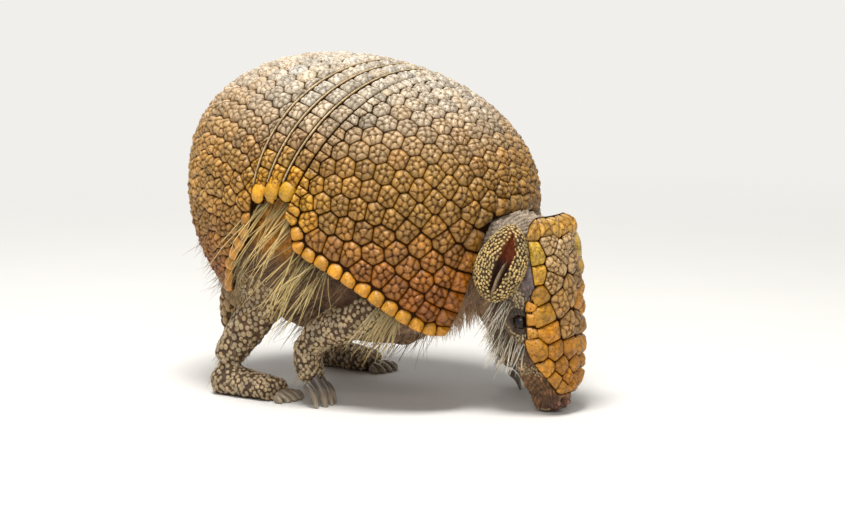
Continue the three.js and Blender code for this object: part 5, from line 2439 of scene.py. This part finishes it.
@dataclass
class Coat:
    """The long sparse bristles along the armour's lower edge and the softer hair of the cheeks and belly."""

    finish: HairFinish = HairFinish()
    stations: int = 7
    widest: float = 60.0  # no hair reaches further out to the side

    def build(self, skin: Skin, rng: Chance) -> list[Piece]:
        """Makes every tress from roots on the skin.

        Args:
            skin: the finished skin.
            rng: the source of chance.

        Returns:
            The pieces, one a tress.
        """
        points, normals = skin.surface()
        x, y, z = points.T
        flat = np.abs(y)
        weights = HIDE.weights(points)
        eye = np.hypot(x - skin.eye_at[0], z - skin.eye_at[2])
        cheek = (x > 68) & (x < 90) & (z > 27) & (z < 46) & (normals[:, 0] < 0.35) & (flat > 3) & (eye > 6.8)
        cheek &= x < 83 + (z < 30) * 3
        limb = (weights[:, 6:].sum(axis=1) > 0.9) & (z > 6)
        open_skin = HIDE.flank_fold(points) < 0.75
        spots = {
            "cheek": cheek,
            "chest": (x > 38) & (x < 72) & (z < 62) & (flat < 24) & (normals[:, 2] < 0.2),
            "fold": self._under_edge(points, ScapularPatch(), 0.0, 0.62) & open_skin,
            "band": self._under_bands(points),
            "lobe": self._under_edge(points, ScapularPatch(), 0.55, 1.0),
            "rim": self._under_edge(points, PelvicPatch(), 0.2, 1.0),
            "belly": (x > -50) & (x < 44) & (normals[:, 2] < -0.3) & (weights[:, 0] > 0.6),
            "rump": (x < -34) & (z < 66) & (weights[:, 0] > 0.6),
            "limb": limb,
        }
        hair = self.finish.material()
        made = []
        for tress in TRESSES:
            roots = rng.choice(np.nonzero(spots[tress.name.split("_")[0]])[0], tress.count)
            piece = self._tress(tress, points[roots], normals[roots], rng)
            piece.data.materials.append(hair)
            made.append(piece)
        return made

    @staticmethod
    def _under_edge(points: Array, patch: Patch, start: float, end: float) -> Array:
        """Which points lie just under a shield's side edges, between two shares of its length.

        Args:
            points: the points.
            patch: the shield.
            start: the first share.
            end: the last share.

        Returns:
            Whether each does.
        """
        u = np.linspace(start, end, 60)
        edge = np.concatenate([patch.at(u, 0 * u + side, 4.5) for side in (-1.0, 1.0)])
        _, gap = nearest(points, edge)
        return gap < 3.6

    @staticmethod
    def _under_bands(points: Array) -> Array:
        """Which of the skin's points lie just under the ends of the bands.

        Args:
            points: the skin's vertices.

        Returns:
            Whether each does.
        """
        lean = np.linspace(-13, 5, 20)
        ends = np.concatenate([ARCHES.point(lean, 0 * lean + spread, 4.5) for spread in (-58.0, 58.0)])
        _, gap = nearest(points, ends)
        return gap < 3.0

    def _tress(self, tress: Tress, roots: Array, normals: Array, rng: Chance) -> Piece:
        """All the hairs of one kind, each a tapering three-sided blade with a drooping curve.

        Args:
            tress: the kind.
            roots: where the hairs grow.
            normals: the outward directions there.
            rng: the source of chance.

        Returns:
            The piece.
        """
        count = len(roots)
        side = np.where(roots[:, 1] < 0, -1.0, 1.0)
        lie = np.array(tress.lie) * np.stack([np.ones(count), side, np.ones(count)], axis=1)
        heading = unit(unit(lie) + normals * tress.stand + rng.normal(0, tress.spread, (count, 3)))
        length = tress.length * rng.uniform(0.6, 1.15, count)
        share = np.linspace(0, 1, self.stations)
        bend = rng.normal(0, 0.10, (count, 3)) + np.array([0.0, 0.0, -tress.droop])
        reach = length[:, None, None] * share[None, :, None]
        spine = roots[:, None] - normals[:, None] * 0.3 + heading[:, None] * reach
        spine = spine + bend[:, None] * reach * share[None, :, None]
        spine[..., 2] = np.maximum(spine[..., 2], 0.3)
        spine[..., 1] = side[:, None] * np.minimum(side[:, None] * spine[..., 1], self.widest)
        ahead = unit(np.gradient(spine, axis=1))
        across = unit(np.cross(ahead, np.array([0.21, 0.93, 0.30])))
        over = np.cross(ahead, across)
        turns = 2 * math.pi * np.arange(3) / 3
        half = tress.width / 2 * (1 - 0.82 * share**1.6) * rng.uniform(0.8, 1.2, (count, 1))
        ring = across[:, :, None] * np.cos(turns)[:, None] + over[:, :, None] * np.sin(turns)[:, None]
        points = (spine[:, :, None] + ring * half[..., None, None]).reshape(count, -1, 3)
        last = (self.stations - 1) * 3
        ends = np.array([[2, 1, 0], [last, last + 1, last + 2]])
        piece = make_like(tress.name, points, grid_faces(self.stations, 3, wrap=True), ends)
        corner, station = np.meshgrid(np.arange(3) / 2.0, share)
        map_to_roots(piece, roots, np.stack([corner.ravel(), station.ravel()], axis=1))
        markings = HIDE.skin_colour(roots)
        colour = vary(0.8 * np.tile(srgb(tress.colour), (count, 1)) + 0.2 * markings, rng)
        paint(piece, np.repeat(colour, points.shape[1], axis=0), np.tile(np.repeat(share, 3), count))
        return piece


TRESSES: tuple[Tress, ...] = (
    Tress("cheek_hair_pale", 300, 11.0, 0.50, (-0.30, 0.1, -1.0), 0.36, 0.2, 0.13, "#f7edd4"),
    # The dark cheek hairs are painted shade: dark strands set among the pale ones for the shade between them.
    Tress("cheek_hair_dark", 460, 9.5, 0.38, (-0.30, 0.1, -1.0), 0.28, 0.2, 0.13, "#4a3522"),
    Tress("chest_hair", 1300, 7.0, 0.26, (-0.5, 0.1, -1.0), 0.6, 0.2, 0.22, "#d2ab80"),
    Tress("fold_bristles", 120, 30.0, 0.60, (-0.58, 0.10, -0.82), 0.22, 0.08, 0.20, "#e3cb88"),
    Tress("band_bristles", 80, 31.0, 0.55, (-0.60, 0.10, -0.80), 0.20, 0.10, 0.16, "#e3cb88"),
    Tress("fold_hairs", 170, 16.0, 0.34, (-0.5, 0.1, -0.9), 0.22, 0.1, 0.20, "#6f5430"),
    Tress("lobe_bristles", 130, 20.0, 0.50, (-0.60, 0.08, -0.80), 0.22, 0.1, 0.20, "#dcc487"),
    Tress("rim_bristles", 120, 10.0, 0.36, (-0.3, 0.1, -1.0), 0.15, 0.12, 0.15, "#c8ae7c"),
    Tress("belly_hair", 600, 11.0, 0.28, (-1.0, 0.0, -0.5), 0.5, 0.15, 0.2, "#b0926a"),
    Tress("rump_hair", 200, 9.0, 0.28, (-0.5, 0.0, -1.0), 0.3, 0.2, 0.2, "#b0926a"),
    Tress("limb_hair", 380, 4.5, 0.20, (-0.4, 0.1, -1.0), 0.45, 0.1, 0.2, "#c8b184"),
)


# ---------------------------------------------------------------- the studio
@dataclass(frozen=True)
class Studio:
    """A pale floor, soft lamps and the camera, low and to the animal's front right."""

    eye: tuple[float, float, float] = (0.8907, -1.2907, 0.2778)
    aim: tuple[float, float, float] = (0.0017, 0.0209, 0.0487)
    lens: float = 170.4
    sensor: float = 36.0
    floor_colour: str = "#e9e6e0"
    floor_size: float = 8.0
    mottle: float = 40.0  # millimetres across a mottle in the paper
    fade: tuple[float, float] = (0.22, 0.8)  # where the floor starts and ends its fade to the backdrop
    backdrop: str = "#f1efeb"
    sky: str = "#eef1f4"
    sky_strength: float = 0.24
    lamp_aim: tuple[float, float, float] = (0.0, 0.0, 0.06)
    # Each lamp's name, place, width in metres and watts.
    lamp_plan: tuple[tuple[str, tuple[float, float, float], float, float], ...] = (
        ("overhead", (0.10, -0.30, 1.10), 0.40, 14.2),
        ("key", (0.75, -1.15, 0.75), 0.6, 6.4),
        ("rear", (-0.9, 0.8, 0.9), 0.9, 5.0),
    )

    def build(self) -> None:
        """Sets up the floor, the lamps, the world and the camera."""
        self.floor()
        self.lamps()
        self.camera()

    def floor(self) -> None:
        """A plain pale floor that fades into the backdrop."""
        bpy.ops.object.select_all(action="DESELECT")
        bpy.ops.mesh.primitive_plane_add(size=self.floor_size)
        ground = bpy.context.object
        ground.name = "floor"
        made, tree, shader = new_material("matt_paper")
        place = add_node(tree, "TexCoord", {})["Object"]
        mottle = {"Vector": place, "Scale": per_metre(self.mottle), "Detail": 2.0}
        paper = srgb(self.floor_colour)
        stops = ((0.3, paper * 0.985), (0.7, paper))
        colour = add_node(tree, "ValToRGB", {0: add_node(tree, "TexNoise", mottle)["Fac"]}, stops)["Color"]
        far = add_node(tree, "VectorMath", {0: place}, operation="LENGTH")["Value"]
        near, away = self.fade
        fade = add_node(tree, "MapRange", {0: far, 1: near, 2: away}, interpolation_type="SMOOTHSTEP")[0]
        shown = add_node(tree, "Math", {0: fade, 1: self._seen(tree)}, operation="MULTIPLY")[0]
        white = add_node(tree, "Emission", {"Color": srgb(self.backdrop), "Strength": 1.0})[0]
        mixed = add_node(tree, "MixShader", {0: shown, 1: shader.outputs[0], 2: white})[0]
        wire(tree.nodes["Material Output"], {"Surface": mixed})
        wire(shader, {"Base Color": colour, "Roughness": 0.9})
        ground.data.materials.append(made)

    @staticmethod
    def _seen(tree: Tree) -> Socket:
        """1 for rays that show the backdrop: straight from the camera, mirrored or refracted.

        Args:
            tree: the ground's node tree.

        Returns:
            The socket that gives the number.
        """
        rays = add_node(tree, "LightPath", {})
        sums = {0: rays["Is Camera Ray"], 1: rays["Is Glossy Ray"]}
        either = add_node(tree, "Math", sums, operation="ADD")[0]
        sums = {0: either, 1: rays["Is Transmission Ray"]}
        return add_node(tree, "Math", sums, operation="ADD", use_clamp=True)[0]

    def lamps(self) -> None:
        """A large soft lamp overhead, one on the camera's side and a weaker one behind."""
        for name, place, size, power in self.lamp_plan:
            light = bpy.data.lights.new(name, "AREA")
            light.energy = power
            light.size = size
            lamp = bpy.data.objects.new(name, light)
            lamp.location = place
            lamp.rotation_euler = (Vector(self.lamp_aim) - Vector(place)).to_track_quat("-Z", "Y").to_euler()
            bpy.context.scene.collection.objects.link(lamp)
        world = bpy.data.worlds.new("studio")
        bpy.context.scene.world = world
        world.use_nodes = True
        tree = world.node_tree
        tree.nodes.clear()
        seen = add_node(tree, "Background", {"Color": srgb(self.backdrop), "Strength": 1.0})[0]
        soft = add_node(tree, "Background", {"Color": srgb(self.sky), "Strength": self.sky_strength})[0]
        mix = add_node(tree, "MixShader", {0: self._seen(tree), 1: soft, 2: seen})[0]
        add_node(tree, "OutputWorld", {"Surface": mix})

    def camera(self) -> None:
        """A long lens at a little over a metre and a half."""
        lens = bpy.data.cameras.new("camera")
        lens.lens = self.lens
        lens.sensor_width = self.sensor
        camera = bpy.data.objects.new("camera", lens)
        camera.location = self.eye
        camera.rotation_euler = (Vector(self.aim) - Vector(self.eye)).to_track_quat("-Z", "Y").to_euler()
        bpy.context.scene.collection.objects.link(camera)
        bpy.context.scene.camera = camera
        bpy.context.scene.view_settings.view_transform = "Standard"


def main() -> None:
    """Builds the sub-assemblies in order and reports each piece."""
    logging.basicConfig(level=logging.INFO, format="%(message)s")
    rng = np.random.default_rng(7)
    pieces: list[Piece] = []
    horn = HornyPlate()
    pieces += Carapace(horn).build(rng)
    pieces += HeadShield(horn).build(rng)
    skin = Skin()
    pieces += skin.build()
    pieces += LegScales(horn).build(skin, rng)
    pieces += Ear(horn).build(rng)
    pieces += WetEye().build()
    pieces += Claws().build()
    pieces += Coat().build(skin, rng)
    for piece in pieces:
        log.info("%-28s %7d triangles", piece.name, triangles_of(piece))
    Studio().build()


if __name__ == "__main__":
    main()
